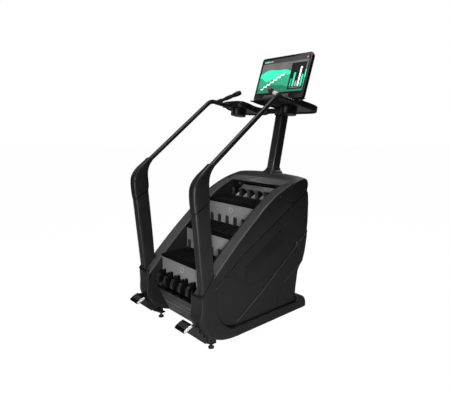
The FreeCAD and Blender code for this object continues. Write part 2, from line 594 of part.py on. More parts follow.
def make_grips():
    a = vec(RAIL_X, 672.0, 1829.0 - RAIL_FALL * 67.0)
    b = vec(168.0, 762.0, 1897.0)
    d = (b - a).normalize()
    length = (b - a).Length
    stem = rod(a, a + d * (length - 30), 15.5)
    collar = rod(a, a + d * 52.0, 19.0)
    head = rod(a + d * (length - 62), a + d * (length - 8), 21.0)
    head = soften(head, 9.0, lambda e: True)
    grip = fuse([stem, collar, head]).cut(RAILS["path"])
    top = FreeCAD.Vector(0, 0, 1)
    up = (top - d * d.dot(top)).normalize()
    key_at = a + d * (length - 36)
    well = rod(key_at + up * 14.0, key_at + up * 30.0, 7.2)
    sleeve0, sleeve1 = a + d * 90.0, a + d * 150.0
    sleeve = rod(sleeve0, sleeve1, 17.5).cut(rod(sleeve0, sleeve1, 15.5))
    grip = grip.cut(well)
    key = rod(key_at + up * 15.5, key_at + up * 24.0, 6.9)
    pair("grips", grip)
    pair("pulse_sensors", sleeve)
    nodes["grip_button_r"], nodes["grip_button_l"] = key, mirrored(key)


TILT = math.degrees(math.atan(RAIL_FALL))
CUP_X, CUP_Y = 293.0, 862.0
CUP_R, CUP_DEPTH = 64.0, 74.0


def plane_z(y):
    """Height of the rail plane's centre line at y."""
    return BEND[1] - RAIL_FALL * (y - BEND[0])


def tilted(shape):
    """From tray coordinates (Y from the cup, Z from the rail plane) to the machine."""
    shape.rotate(FreeCAD.Vector(0, 0, 0), FreeCAD.Vector(1, 0, 0), -TILT)
    shape.translate(vec(0, CUP_Y, plane_z(CUP_Y)))
    return shape


def rounded_slab(x0, x1, y0, y1, z0, z1, r):
    slab = local_box(x0, x1, y0, y1, z0, z1)
    return soften(slab, r, lambda e: along(e, "z"))


def make_trays():
    """Dished tray inside each rail with a round well that holds the cup."""
    outer = rounded_slab(158.0, 384.0, -104.0, 196.0, -28.0, 22.0, 62.0)
    inner = rounded_slab(164.0, 378.0, -98.0, 190.0, -12.0, 30.0, 56.0)
    under = rounded_slab(164.0, 378.0, -98.0, 190.0, -40.0, -17.0, 56.0)
    hole = Part.makeCylinder(CUP_R + 4.2, 100.0, FreeCAD.Vector(CUP_X, 0, -60))
    tray = tilted(outer.cut(inner).cut(under).cut(hole)).cut(RAILS["path"])
    pair("trays", tray)
    wall = Part.makeCylinder(CUP_R + 4.0, CUP_DEPTH + 4, FreeCAD.Vector(CUP_X, 0, -82.0))
    well = Part.makeCylinder(CUP_R, CUP_DEPTH + 1, FreeCAD.Vector(CUP_X, 0, -78.0))
    pair("cup_holders", tilted(wall.cut(well)))


# --- mast and console --------------------------------------------------------------
MAST_FOOT = (996.0, 1176.0)
MAST_TOP = (1112.0, 1700.0)


def make_mast():
    lean = (MAST_TOP[0] - MAST_FOOT[0]) / (MAST_TOP[1] - MAST_FOOT[1])
    def at(z):
        return MAST_FOOT[0] + lean * (z - MAST_FOOT[1])
    hy = 46.0
    post = poly([(at(1176.0) - hy, 1176.0), (at(1176.0) + hy, 1176.0), (at(1724.0) + hy - 4, 1724.0),
                 (at(1724.0) - hy + 4, 1724.0)], -44.0, 44.0)
    post = soften(post, 24.0, lambda e: e.BoundBox.XLength < 1 and e.BoundBox.ZLength > 400)
    post = post.cut(nodes["top_cover"])
    nodes["mast"] = max(post.Solids, key=lambda solid: solid.Volume)
    y = at(1200.0)
    ring = prism([((y - 84, 1188.0), (y + 10, 1180.0)), ((y + 10, 1180.0), (y + 66, 1196.0)),
                  ((y + 66, 1196.0), (y + 50, 1240.0)), ((y + 50, 1240.0), (y - 46, 1240.0)),
                  [(y - 46, 1240.0), (y - 57, 1216.0), (y - 84, 1196.0)],
                  ((y - 84, 1196.0), (y - 84, 1188.0))], -70.0, 70.0)
    ring = ring.cut(nodes["mast"]).cut(nodes["top_cover"])
    nodes["mast_collar"] = max(ring.Solids, key=lambda solid: solid.Volume)
    head = poly([(TRAY_Y - 24, 1712.0), (TRAY_Y + 76, 1712.0), (TRAY_Y + 84, 1774.0),
                 (TRAY_Y - 12, 1774.0)], -47.0, 47.0)
    head = soften(head, 12.0, lambda e: e.BoundBox.XLength < 1 and e.BoundBox.ZLength > 50)
    neck = poly([(1104.0, 1774.0), (1146.0, 1774.0), (1164.0, 1850.0), (1206.0, 1984.0),
                 (1182.5, 2000.5), (1137.0, 1868.5), (1110.0, 1860.0)], -36.0, 36.0)
    nodes["mast_head"] = fuse([head, neck]).cut(post).cut(RAILS["path"]).cut(
        mirrored(RAILS["path"]))


def screen_place(shape):
    """From screen coordinates (X across, Y out of the back, Z up the glass) to place."""
    shape.rotate(FreeCAD.Vector(0, 0, 0), FreeCAD.Vector(1, 0, 0), -SCREEN_TILT)
    shape.translate(vec(0, SCREEN_FOOT[0], SCREEN_FOOT[1]))
    return shape


def make_console():
    w, h = SCREEN_W / 2, SCREEN_H
    frame = rounded_y(-w, w, 0.0, 16.0, 0.0, h, 22.0)
    window = local_box(-w + 22, w - 22, -1.0, 4.0, 66.0, h - 20)
    strip_pocket = rounded_y(-172.0, 128.0, -1.0, 4.0, 20.0, 50.0, 14.0)
    bezel = frame.cut(window).cut(strip_pocket)
    holes = [local_box(x - 13.3, x + 13.3, 3.0, 12.0, 26.7, 43.3) for x in KEY_X]
    for hole in holes:
        bezel = bezel.cut(hole)
    nodes["console_bezel"] = screen_place(bezel)
    nodes["display_glass"] = screen_place(local_box(-w + 22.3, w - 22.3, 1.2, 4.0, 66.3, h - 20.3))
    pad = rounded_y(-171.7, 127.7, 2.0, 4.0, 20.3, 49.7, 13.7)
    for hole in holes:
        pad = pad.cut(hole.translated(FreeCAD.Vector(0, -2, 0)))
    nodes["key_strip"] = screen_place(pad)
    for i, x in enumerate(KEY_X):
        key = local_box(x - 13.0, x + 13.0, 0.6, 9.0, 27.0, 43.0)
        nodes["key_%d" % (i + 1)] = screen_place(key)
    shell = rounded_y(-w + 3, w - 3, 16.0, 46.0, 3.0, h - 3, 22.0)
    belly = rounded_y(-150.0, 150.0, 46.0, 74.0, 40.0, 300.0, 30.0)
    arm = local_box(-38.0, 38.0, 74.0, 92.0, 60.0, 200.0)
    nodes["console_back"] = screen_place(fuse([shell, belly, arm]))
    shelf = front_arc(-292.0, 292.0, 1842.0, 1776.0)
    shelf = shelf.extrude(FreeCAD.Vector(0, 88.0, 0))
    shelf.translate(FreeCAD.Vector(0, 984.0 - Y_CENTRE, 0))
    nodes["console_shelf"] = shelf


KEY_X = (-100.0, -10.0)


def rounded_y(x0, x1, y0, y1, z0, z1, r):
    slab = local_box(x0, x1, y0, y1, z0, z1)
    return soften(slab, r, lambda e: along(e, "y"))


def front_arc(x0, x1, z_top, z_low):
    """Face across X at y = 0: flat on top, bowed below."""
    a, b = FreeCAD.Vector(x0, 0, z_top), FreeCAD.Vector(x1, 0, z_top)
    c = FreeCAD.Vector((x0 + x1) / 2, 0, z_low)
    a2, b2 = FreeCAD.Vector(x0, 0, z_top - 12), FreeCAD.Vector(x1, 0, z_top - 12)
    return Part.Face(Part.Wire([Part.makeLine(a, b), Part.makeLine(b, b2),
                                Part.Arc(b2, c, a2).toShape(), Part.makeLine(a2, a)]))


# --- feet, brackets, pads, wheels -------------------------------------------------------
FOOT_X = 338.0
REAR_FOOT_X = 262.0


def make_feet():
    """Foot brackets in front, levelling feet, fixed entry pads and transport wheels."""
    for end, x, y, z_top in (("front", FOOT_X, 0.0, 92.0), ("rear", REAR_FOOT_X, 920.0, 73.5)):
        pad = Part.makeCylinder(22.0, 12.0, vec(x, y, 0.0))
        pad = soften(pad, 3.0, lambda e: e.BoundBox.ZMin > 11)
        cone = Part.makeCone(16.0, 9.0, 12.0, vec(x, y, 12.0))
        stem = Part.makeCylinder(6.0, z_top - 24.0, vec(x, y, 24.0))
        foot = fuse([pad, cone, stem])
        nodes[end + "_foot_r"], nodes[end + "_foot_l"] = foot, mirrored(foot)
    plate = poly([(-222.0, 199.0), (-214.0, 236.0), (-200.0, 254.0), (-152.0, 250.0),
                  (-134.0, 222.0), (-112.0, 188.0), (-90.0, 158.0), (-70.0, 134.0),
                  (-70.0, 66.0)], FOOT_X + 24, FOOT_X + 30)
    lug = poly([(-49.0, 124.0), (-20.0, 104.0), (7.0, 86.0), (8.0, 66.0), (-8.0, 60.0),
                (-47.0, 60.0)], FOOT_X + 24, FOOT_X + 30)
    web = poly([(-120.0, 120.0), (-90.0, 156.0), (-49.0, 122.0), (7.0, 84.0), (30.0, 66.0),
                (30.0, 38.0), (-16.0, 38.0), (-60.0, 62.0)], FOOT_X + 16, FOOT_X + 24)
    tab = block(FOOT_X - 22, FOOT_X + 24, -16.0, 30.0, 38.0, 44.0)
    wall = block(FOOT_X - 22, FOOT_X + 24, -16.0, -10.0, 44.0, 108.0)
    bracket = fuse([plate, lug, web, tab, wall]).cut(Part.makeCylinder(6.04, 40.0, vec(FOOT_X, 0.0, 20.0)))
    for y, z in ((-157.0, 230.0), (-127.0, 182.0), (-86.0, 131.0)):
        bracket = bracket.cut(cross_rod(y, z, FOOT_X, FOOT_X + 60, 5.0))
    pad = local_box(-52.0, 52.0, -42.0, 42.0, -14.0, 14.0)
    pad = soften(pad, 10.0, lambda e: along(e, "x"))
    for i in range(3):
        pad = pad.cut(local_box(-53.0, 53.0, -26.0 + 18 * i, -20.0 + 18 * i, 9.0, 15.0))
    caps = [soften(local_box(s * 54.5 - 2.2, s * 54.5 + 2.2, -38.0, 38.0, -10.0, 10.0), 8.0,
                   lambda e: along(e, "x")) for s in (-1, 1)]
    for name, shape in (("entry_pads", pad), ("pad_caps", Part.makeCompound(caps))):
        shape.rotate(FreeCAD.Vector(0, 0, 0), FreeCAD.Vector(1, 0, 0), 24.0)
        shape.translate(vec(FOOT_X - 20.0, -230.0, 236.0))
        pair(name, shape)
        bracket = bracket.cut(shape)
    pair("foot_brackets", max(bracket.Solids, key=lambda solid: solid.Volume))
    for side in (-1, 1):
        room = Part.makeCylinder(7.0, 70.0, vec(side * FOOT_X, 0.0, 24.0))
        nodes["boots"] = nodes["boots"].cut(room)
    wheel = cross_rod(958.0, 42.0, 296.0, 322.0, 34.0).cut(cross_rod(958.0, 42.0, 290, 330, 6.06))
    pair("transport_wheels", wheel)
    axle = cross_rod(958.0, 42.0, 290.0, 329.0, 6.0)
    lug = poly([(940.1, 114.0), (940.1, 80.0), (948.0, 30.0), (968.0, 30.0), (975.0, 80.0),
                (975.0, 114.0)], 324.0, 329.5)
    axles = fuse([axle, lug])
    nodes["base_frame"] = Part.makeCompound([nodes["base_frame"], axles, mirrored(axles)])


# --- fits between fixed pieces ------------------------------------------------------
LAPS = (("boots", ("uprights", "foot_brackets", "base_frame")), ("foot_brackets", ("base_frame",)),
        ("side_panels", ("uprights",)), ("stringers", ("uprights", "boots", "top_cover")),
        ("cheeks", ("top_cover", "kick_plate")), ("top_cover", ("mast",)),
        ("console_back", ("mast_head",)), ("console_shelf", ("console_bezel", "console_back",
                                                             "mast_head")))


def trim_laps():
    """Where two fixed pieces meet, the softer one is cut to seat on the other."""
    for name, others in LAPS:
        for other in others:
            nodes[name] = nodes[name].cut(nodes[other])


def main():
    os.makedirs("parts", exist_ok=True)
    make_chains()
    make_steps()
    make_shafts()
    make_frame()
    make_drive()
    make_rails()
    make_side_panels()
    make_stringers()
    make_cheeks()
    make_top_cover()
    make_back()
    make_skirts()
    make_kick_plate()
    make_uprights()
    make_grips()
    make_trays()
    make_mast()
    make_console()
    make_feet()
    trim_laps()
    for name, shape in sorted(nodes.items()):
        if not shape.isValid() or shape.Volume <= 0:
            print("bad shape", name, shape.Volume)
        shape.exportStep("parts/" + name + ".step")


main()
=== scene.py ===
import json
import math

import bmesh
import bpy
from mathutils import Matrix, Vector
from mathutils.geometry import tessellate_polygon


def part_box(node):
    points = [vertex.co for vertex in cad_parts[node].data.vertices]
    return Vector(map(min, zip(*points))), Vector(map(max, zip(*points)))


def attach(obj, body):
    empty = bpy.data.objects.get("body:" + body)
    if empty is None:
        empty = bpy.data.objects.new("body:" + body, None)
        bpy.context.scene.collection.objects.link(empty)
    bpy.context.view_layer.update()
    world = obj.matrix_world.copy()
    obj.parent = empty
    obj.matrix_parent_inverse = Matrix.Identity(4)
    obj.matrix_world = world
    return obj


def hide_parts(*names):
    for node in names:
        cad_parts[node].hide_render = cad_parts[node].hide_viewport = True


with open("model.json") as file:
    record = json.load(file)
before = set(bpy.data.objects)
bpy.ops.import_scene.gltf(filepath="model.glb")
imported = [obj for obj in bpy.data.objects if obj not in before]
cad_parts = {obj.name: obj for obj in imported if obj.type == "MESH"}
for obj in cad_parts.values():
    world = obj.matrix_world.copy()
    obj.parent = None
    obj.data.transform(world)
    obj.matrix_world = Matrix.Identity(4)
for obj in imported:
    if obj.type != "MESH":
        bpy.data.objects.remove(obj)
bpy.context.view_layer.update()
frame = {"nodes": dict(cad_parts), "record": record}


# --- materials ------------------------------------------------------------------
def surface(name, colour, rough, metal=0.0, grain=900.0, bump=0.05, mottle=0.12,
            spread=0.08, edge=0.0012, glow=0.0, shine=0.5, painted_shade_band=None):
    """Moulded or painted surface: fine grain, slow colour drift, and soft edges."""
    mat = bpy.data.materials.new(name)
    mat.use_nodes = True
    nt = mat.node_tree
    nodes, link = nt.nodes, nt.links.new
    bsdf = nodes["Principled BSDF"]
    coord = nodes.new("ShaderNodeTexCoord")
    slow = nodes.new("ShaderNodeTexNoise")
    slow.inputs["Scale"].default_value = 7.0
    slow.inputs["Detail"].default_value = 4.0
    link(coord.outputs["Object"], slow.inputs["Vector"])
    ramp = nodes.new("ShaderNodeValToRGB")
    low = [c * (1 - mottle) for c in colour]
    high = [min(1.0, c * (1 + mottle)) for c in colour]
    ramp.color_ramp.elements[0].position = 0.3
    ramp.color_ramp.elements[0].color = (*low, 1)
    ramp.color_ramp.elements[1].position = 0.7
    ramp.color_ramp.elements[1].color = (*high, 1)
    link(slow.outputs["Fac"], ramp.inputs["Fac"])
    link(ramp.outputs["Color"], bsdf.inputs["Base Color"])
    fine = nodes.new("ShaderNodeTexNoise")
    fine.inputs["Scale"].default_value = grain
    fine.inputs["Detail"].default_value = 2.0
    link(coord.outputs["Object"], fine.inputs["Vector"])
    rr = nodes.new("ShaderNodeMapRange")
    rr.inputs["To Min"].default_value = max(0.02, rough - spread)
    rr.inputs["To Max"].default_value = min(1.0, rough + spread)
    link(slow.outputs["Fac"], rr.inputs["Value"])
    link(rr.outputs["Result"], bsdf.inputs["Roughness"])
    bmp = nodes.new("ShaderNodeBump")
    bmp.inputs["Strength"].default_value = bump
    bmp.inputs["Distance"].default_value = 0.001
    link(fine.outputs["Fac"], bmp.inputs["Height"])
    if edge:
        round_edge = nodes.new("ShaderNodeBevel")
        round_edge.samples = 4
        round_edge.inputs["Radius"].default_value = edge
        link(round_edge.outputs["Normal"], bmp.inputs["Normal"])
    link(bmp.outputs["Normal"], bsdf.inputs["Normal"])
    bsdf.inputs["Metallic"].default_value = metal
    bsdf.inputs["Specular IOR Level"].default_value = shine
    # Base colour falls to a tenth of itself across this band of object heights: painted shade.
    if painted_shade_band:
        axes = nodes.new("ShaderNodeSeparateXYZ")
        link(coord.outputs["Object"], axes.inputs["Vector"])
        height = nodes.new("ShaderNodeMapRange")
        height.inputs["From Min"].default_value, height.inputs["From Max"].default_value = painted_shade_band
        height.inputs["To Min"].default_value, height.inputs["To Max"].default_value = 1.0, 0.1
        link(axes.outputs["Z"], height.inputs["Value"])
        dim = nodes.new("ShaderNodeVectorMath")
        dim.operation = "SCALE"
        link(ramp.outputs["Color"], dim.inputs[0])
        link(height.outputs["Result"], dim.inputs["Scale"])
        link(dim.outputs["Vector"], bsdf.inputs["Base Color"])
    if glow:
        link(ramp.outputs["Color"], bsdf.inputs["Emission Color"])
        bsdf.inputs["Emission Strength"].default_value = glow
    return mat


def ink(name, colour):
    """Lit screen colour under glass."""
    return surface(name, colour, 0.25, grain=300.0, bump=0.0, mottle=0.14, edge=0.0, glow=0.66)


MAT = {
    "frame_black": surface("frame_black", (0.006, 0.006, 0.006), 0.5, shine=0.3),
    "satin_black_metal": surface("satin_black_metal", (0.0065, 0.0065, 0.0065), 0.42, bump=0.01,
                                 shine=0.34),
    "moulded_black": surface("moulded_black", (0.0055, 0.0055, 0.0055), 0.46, shine=0.32),
    "charcoal_panel": surface("charcoal_panel", (0.008, 0.008, 0.008), 0.48, shine=0.24),
    # A lighter black for faces turned up to the light on the stringer caps: painted highlight.
    "stringer_charcoal": surface("stringer_charcoal", (0.032, 0.032, 0.032), 0.5, shine=0.36),
    "tread_black": surface("tread_black", (0.0015, 0.0015, 0.0015), 0.6, shine=0.06),
    "riser_grey": surface("riser_grey", (0.135, 0.135, 0.135), 0.55, mottle=0.06),
    # kick_grey grows darker towards the plate's top edge: painted shade under the fingers and the
    # treads.
    "kick_grey": surface("kick_grey", (0.07, 0.07, 0.07), 0.55, mottle=0.06, painted_shade_band=(0.17, 0.30)),
    "chain_steel": surface("chain_steel", (0.06, 0.06, 0.06), 0.4, metal=0.8),
    "belt_rubber": surface("belt_rubber", (0.02, 0.02, 0.02), 0.7),
    "cast_housing": surface("cast_housing", (0.12, 0.12, 0.12), 0.5, metal=0.6),
    "grip_rubber": surface("grip_rubber", (0.006, 0.006, 0.006), 0.5, shine=0.3),
    "sensor_steel": surface("sensor_steel", (0.72, 0.72, 0.72), 0.3, metal=0.3),
    "pad_cap_grey": surface("pad_cap_grey", (0.46, 0.46, 0.46), 0.5),
    "button_red": surface("button_red", (0.62, 0.05, 0.05), 0.4),
    "key_grey": surface("key_grey", (0.07, 0.07, 0.07), 0.45),
    "screen_frame": surface("screen_frame", (0.005, 0.005, 0.005), 0.4, shine=0.28),
    "screen_glass": surface("screen_glass", (0.02, 0.25, 0.15), 0.2, bump=0.0),
    "foot_steel": surface("foot_steel", (0.006, 0.006, 0.006), 0.45, shine=0.3),
}
# A lighter black for the cover's lip band and the panel's crest beads: painted highlight.
HIGHLIGHT_CHARCOAL = surface("highlight_charcoal", (0.045, 0.045, 0.045), 0.5, shine=0.36)
# A lighter black for the top of the cover's dome, over darker sides: painted highlight.
COVER_LIT = surface("cover_lit_charcoal", (0.015, 0.015, 0.015), 0.5, shine=0.22)
# A lighter black for rib tops and finger rims: painted highlight.
RIB_HIGHLIGHT = surface("rib_highlight", (0.012, 0.012, 0.012), 0.5, shine=0.3)
for part in frame["record"]["subparts"]:
    mesh = frame["nodes"][part["node"]].data
    mesh.materials.clear()
    mesh.materials.append(MAT[part["material_slot"]])


# --- places and mesh helpers -----------------------------------------------------
foot_lo, foot_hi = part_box("front_foot_r")
DATUM_Y = (foot_lo[1] + foot_hi[1]) / 2     # the line of the front feet


def P(x, y, z):
    """Millimetres, with Y from the front feet, to the row frame in metres."""
    return Vector((x / 1000, DATUM_Y + y / 1000, z / 1000))


def clamp(v, lo=0.0, hi=1.0):
    return max(lo, min(hi, v))


def smooth(a, b, v):
    t = clamp((v - a) / (b - a))
    return t * t * (3 - 2 * t)


def spline(points, n):
    """n points evenly along a smooth curve through the given ones."""
    pts = [Vector(p) for p in points]
    fine = []
    for i in range(len(pts) - 1):
        p0, p1 = pts[max(i - 1, 0)], pts[i]
        p2, p3 = pts[i + 1], pts[min(i + 2, len(pts) - 1)]
        for k in range(24):
            t = k / 24
            fine.append(0.5 * ((2 * p1) + (p2 - p0) * t + (2 * p0 - 5 * p1 + 4 * p2 - p3) * t * t
                               + (3 * p1 - p0 - 3 * p2 + p3) * t ** 3))
    fine.append(pts[-1])
    run = [0.0]
    for a, b in zip(fine, fine[1:]):
        run.append(run[-1] + (b - a).length)
    out, j = [], 0
    for i in range(n):
        s = run[-1] * i / (n - 1)
        while j < len(run) - 2 and run[j + 1] < s:
            j += 1
        out.append(fine[j].lerp(fine[j + 1], clamp((s - run[j]) / max(run[j + 1] - run[j], 1e-9))))
    return out


def level(points, y):
    """Height of a polyline of (y, z) at y."""
    for (y0, z0), (y1, z1) in zip(points, points[1:]):
        if y0 <= y <= y1:
            return z0 + (z1 - z0) * (y - y0) / (y1 - y0)
    return points[0][1] if y < points[0][0] else points[-1][1]


class Shell:
    """Vertices and faces gathered for one piece."""

    def __init__(self):
        self.verts, self.faces, self.marks = [], [], []

    def add(self, verts, faces, marks=0):
        n = len(self.verts)
        self.verts += [Vector(v) for v in verts]
        self.faces += [tuple(i + n for i in f) for f in faces]
        self.marks += marks if isinstance(marks, list) else [marks] * len(faces)

    def loft(self, rings, closed=True, caps=True, mark=None):
        """Skin over rings; mark(ring, point) gives the material of each face."""
        n, m = len(rings[0]), len(rings)
        faces, marks = [], []
        for j in range(m - 1):
            for i in range(n if closed else n - 1):
                k = (i + 1) % n
                faces.append((j * n + i, j * n + k, (j + 1) * n + k, (j + 1) * n + i))
                marks.append(mark(j, i) if mark else 0)
        if caps and closed:
            faces.append(tuple(reversed(range(n))))
            faces.append(tuple((m - 1) * n + i for i in range(n)))
            marks += [0, 0]
        self.add([p for r in rings for p in r], faces, marks)

    def sheet(self, loops, d0, d1, fn):
        """Flat plate between d0 and d1 bounded by the first loop, with holes by the rest."""
        flat = [Vector((p.x, p.y, 0)) for loop in loops for p in loop]
        tris = tessellate_polygon([[Vector((p.x, p.y, 0)) for p in loop] for loop in loops])
        n = len(flat)
        faces = [tuple(t) for t in tris] + [tuple(i + n for i in reversed(t)) for t in tris]
        at = 0
        for loop in loops:
            m = len(loop)
            faces += [(at + i, at + (i + 1) % m, at + (i + 1) % m + n, at + i + n)
                      for i in range(m)]
            at += m
        self.add([fn(p.x, p.y, d) for d in (d0, d1) for p in flat], faces)

    def block(self, x0, x1, y0, y1, z0, z1):
        self.loft([[(x, y0, z0), (x, y1, z0), (x, y1, z1), (x, y0, z1)] for x in (x0, x1)])

    def place(self, fn):
        self.verts = [fn(v) for v in self.verts]
        return self

    def mirrored(self):
        n = len(self.verts)
        self.verts += [Vector((-v.x, v.y, v.z)) for v in self.verts]
        self.faces += [tuple(reversed([i + n for i in f])) for f in self.faces]
        self.marks += self.marks
        return self


def turn(n):
    """Angles that part a full turn into n."""
    return [2 * math.pi * k / n for k in range(n)]


def piece(name, shell, slot, body="frame", replaces=(), bevel=0.0, segments=2,
          sharp=40.0, solid=0.0, mats=()):
    bm = bmesh.new()
    verts = [bm.verts.new(v) for v in shell.verts]
    for f, mark in zip(shell.faces, shell.marks):
        try:
            bm.faces.new([verts[i] for i in f]).material_index = mark
        except ValueError:
            pass
    bmesh.ops.remove_doubles(bm, verts=bm.verts, dist=1e-6)
    bmesh.ops.recalc_face_normals(bm, faces=bm.faces)
    for e in bm.edges:
        if len(e.link_faces) == 2 and e.calc_face_angle(0.0) > math.radians(sharp):
            e.smooth = False
    mesh = bpy.data.meshes.new(name)
    bm.to_mesh(mesh)
    bm.free()
    for poly in mesh.polygons:
        poly.use_smooth = True
    obj = bpy.data.objects.new(name, mesh)
    bpy.context.scene.collection.objects.link(obj)
    if solid:
        mod = obj.modifiers.new("wall", "SOLIDIFY")
        mod.thickness, mod.offset = solid, -1.0
    if bevel:
        mod = obj.modifiers.new("edges", "BEVEL")
        mod.width, mod.segments = bevel, segments
        mod.limit_method, mod.angle_limit = "ANGLE", math.radians(32)
        mod.harden_normals = True
    for mat in mats or (MAT[slot],):
        mesh.materials.append(mat)
    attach(obj, body)
    if replaces:
        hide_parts(*replaces)
    return obj


def sgn_pow(v, p):
    return math.copysign(abs(v) ** p, v)


def ring(centre, ax, ay, rx, ry, p=4.0, n=40):
    """Rounded rectangle, as a superellipse, in the plane of ax and ay."""
    out = []
    for i in range(n):
        t = 2 * math.pi * (i + 0.5) / n
        out.append(centre + ax * (rx * sgn_pow(math.cos(t), 2 / p))
                   + ay * (ry * sgn_pow(math.sin(t), 2 / p)))
    return out


X = Vector((1, 0, 0))
RAIL_X = 389.0


# --- uprights and elbows -----------------------------------------------------------
def upright_rings(front, back, width, power, n):
    rings = []
    for i, (f, b) in enumerate(zip(spline(front, n), spline(back, n))):
        s = i / (n - 1)
        a, c = P(RAIL_X, *f), P(RAIL_X, *b)
        rings.append(ring((a + c) / 2, X, (c - a).normalized(), width(s) / 1000,
                          (c - a).length / 2, power(s)))
    return rings


def make_uprights():
    post = Shell()
    post.loft(upright_rings([(-126, 330), (-138, 460), (-160, 700), (-190, 1035)],
                            [(-20, 330), (-30, 600), (-45, 830), (-67, 1108)],
                            lambda s: 33.0, lambda s: 4.6, 24))
    piece("upright_tubes", post.mirrored(), "satin_black_metal", replaces=["uprights"])
    neck = Shell()
    neck.loft(upright_rings([(-186, 1010), (-189.5, 1062)], [(-66, 1088), (-63, 1132)],
                            lambda s: 30.5, lambda s: 4.6, 3))
    piece("elbow_seams", neck.mirrored(), "tread_black")
    elbow = Shell()
    elbow.loft(upright_rings(
        [(-194, 1043), (-203, 1120), (-203, 1190), (-188, 1236), (-150, 1284), (-100, 1324),
         (-54, 1361)],
        [(-62, 1120), (-61, 1150), (-65, 1225), (-60, 1262), (-48, 1290), (-32, 1313),
         (-14, 1334)],
        lambda s: 35.4 - 11.9 * smooth(0.5, 1.0, s), lambda s: 4.6 - 2.0 * smooth(0.4, 1.0, s),
        30))
    for y, z in ((-160, 1215), (-150, 1072)):
        disc = [P(355.2 - 0.6, y + 5 * math.cos(a), z + 5 * math.sin(a))
                for a in (k * math.pi / 8 for k in range(16))]
        deep = [v + X * 0.004 for v in disc]
        elbow.loft([disc, deep])
    piece("elbow_shells", elbow.mirrored(), "moulded_black", replaces=["elbows"])


# --- housing -------------------------------------------------------------------------
TOP_CURVE = [(-15, 560), (90, 660), (210, 767), (377, 905), (500, 1000), (600, 1065),
             (700, 1112), (790, 1145)]
GROOVE = [(-40, 455), (-7, 478), (258, 663), (997, 1078)]


def make_stringers():
    cap = Shell()
    rings = []
    for f in spline([(-24, 551)] + TOP_CURVE, 46):
        y, z = f
        low = level(GROOVE, y) + 3.0
        rings.append([P(x, y, zz) for x, zz in (
            (290, z - 30), (290, z - 18), (293, z - 14.5), (330, z - 9), (370, z - 2.5),
            (384, z - 0.5), (392, z - 2), (397.5, z - 7), (400, z - 16), (400, low + 4),
            (399, low + 1), (396, low), (392, low), (392, z - 26), (384, z - 14),
            (330, z - 22), (294, z - 30))])
    # Top faces take the lighter stringer_charcoal and wall faces the darker charcoal_panel:
    # painted highlight on the tops and painted shade on the walls of one black part.
    cap.loft(rings, mark=lambda j, i: 1 if 7 <= i <= 12 else 0)
    nose = []
    for f in spline([(-142, 430), (-80, 494), (-15, 561)], 12):
        y, z = f
        s = smooth(-142, -110, y)
        nose.append([P(x, y, zz) for x, zz in (
            (290, z - 30 + 8 * s), (290, z - 18), (293, z - 14.5), (330, z - 9 + 2 * s),
            (353, z - 6), (354, z - 20), (330, z - 26), (294, z - 30 + 4 * s))])
    cap.loft(nose)
    piece("stringer_caps", cap.mirrored(), "stringer_charcoal", replaces=["stringers"], sharp=50,
          mats=(MAT["stringer_charcoal"], MAT["charcoal_panel"]))


BOOT_IN = [(178, 137), (140, 141), (101, 160), (55, 195), (20, 236), (-1, 280), (-13, 330),
           (-24, 440), (-34, 590)]
BOOT_OUT = [(178, 54), (121, 61), (57, 87), (-12, 129), (-80, 186), (-128, 275), (-143, 340),
            (-150, 448)]


BOOT_KEEL = [(178, 54), (118, 54), (43, 66), (-32, 103), (-106, 164), (-158, 259), (-152, 345),
             (-150, 448)]


def make_boots():
    boot, rings, n = Shell(), [], 44
    for k, (o, i, q) in enumerate(zip(spline(BOOT_OUT, n), spline(BOOT_IN, n),
                                      spline(BOOT_KEEL, n))):
        t = k / (n - 1)
        u = (i - o).normalized()
        wall = 14 + 50 * (1 - smooth(0.6, 0.9, t))
        sec = [(396, i, 0), (419, i, -1), (423.5, i, -5), (424.6, i, -12), (425, o, 22)]
        for a in (15, 30, 45, 60, 75, 90):
            c, s = 1 - math.cos(math.radians(a)), math.sin(math.radians(a))
            sec.append((425 - 40 * c, (o + u * 14).lerp(q, s), 0))
        sec += [(350, q, 0.5), (310, q, 2), (297, q, 5), (292, q, 11), (290.5, q, 19),
                (290.5, q, wall + 16), (295, q, wall + 16), (296, q, 22), (302, q, 12),
                (350, q, 8), (395, q, 8)]
        sec += [
            (414, o, 18), (419, o, 26), (419, i, -12), (416, i, -8), (396, i, -8)]
        rings.append([P(x, *(b + u * d)) for x, b, d in sec])
    boot.loft(rings)
    piece("boot_shells", boot.mirrored(), "moulded_black", replaces=["boots"], sharp=50)
    rim, track = Shell(), [(293, -152, 452), (415, -152, 452), (423.4, -149, 453),
                           (425.4, -144, 457), (425.4, -90, 521), (425.4, -36, 586)]
    rim.loft([[P(x + a, y + b, z + c) for a, b, c in ((0, -2.5, -2), (0.4, -1, -3), (0.4, 2.5, 1),
                                                    (-1.5, 2.5, 2), (-1.5, -2.5, -1))]
              for x, y, z in track])
    piece("boot_top_joints", rim.mirrored(), "tread_black")
    dots = Shell()
    disc = [P(425.2, -70 + 4.2 * math.cos(a), 465 + 4.2 * math.sin(a))
            for a in (k * math.pi / 8 for k in range(16))]
    dots.loft([[v - X * 0.004 for v in disc], disc])
    piece("boot_screws", dots.mirrored(), "frame_black")


REAR_LOW = [(871, 232), (897, 400), (920, 436), (957, 474), (982, 545), (1003, 660),
            (1015, 813), (1019, 939)]
REAR_TOP = [(997, 1078), (1008, 1060), (1014, 999), (1019, 939)]
SEAM_LOW = [(178, 155), (489, 353), (931, 675), (1019, 740)]
SCOOP = [(266, 553), (783, 857)]


def panel_low(y):
    inner = sorted([(171, 139), (101, 162), (55, 197), (22, 238), (1, 281), (-11, 330),
                    (-22, 430), (-25, 462)])
    if y < 171:
        return level(inner, y)
    if y < 871:
        return 138.0
    return level(REAR_LOW, y)


def panel_high(y):
    return level(GROOVE, y) - 3.0 if y < 997 else level(REAR_TOP, y)


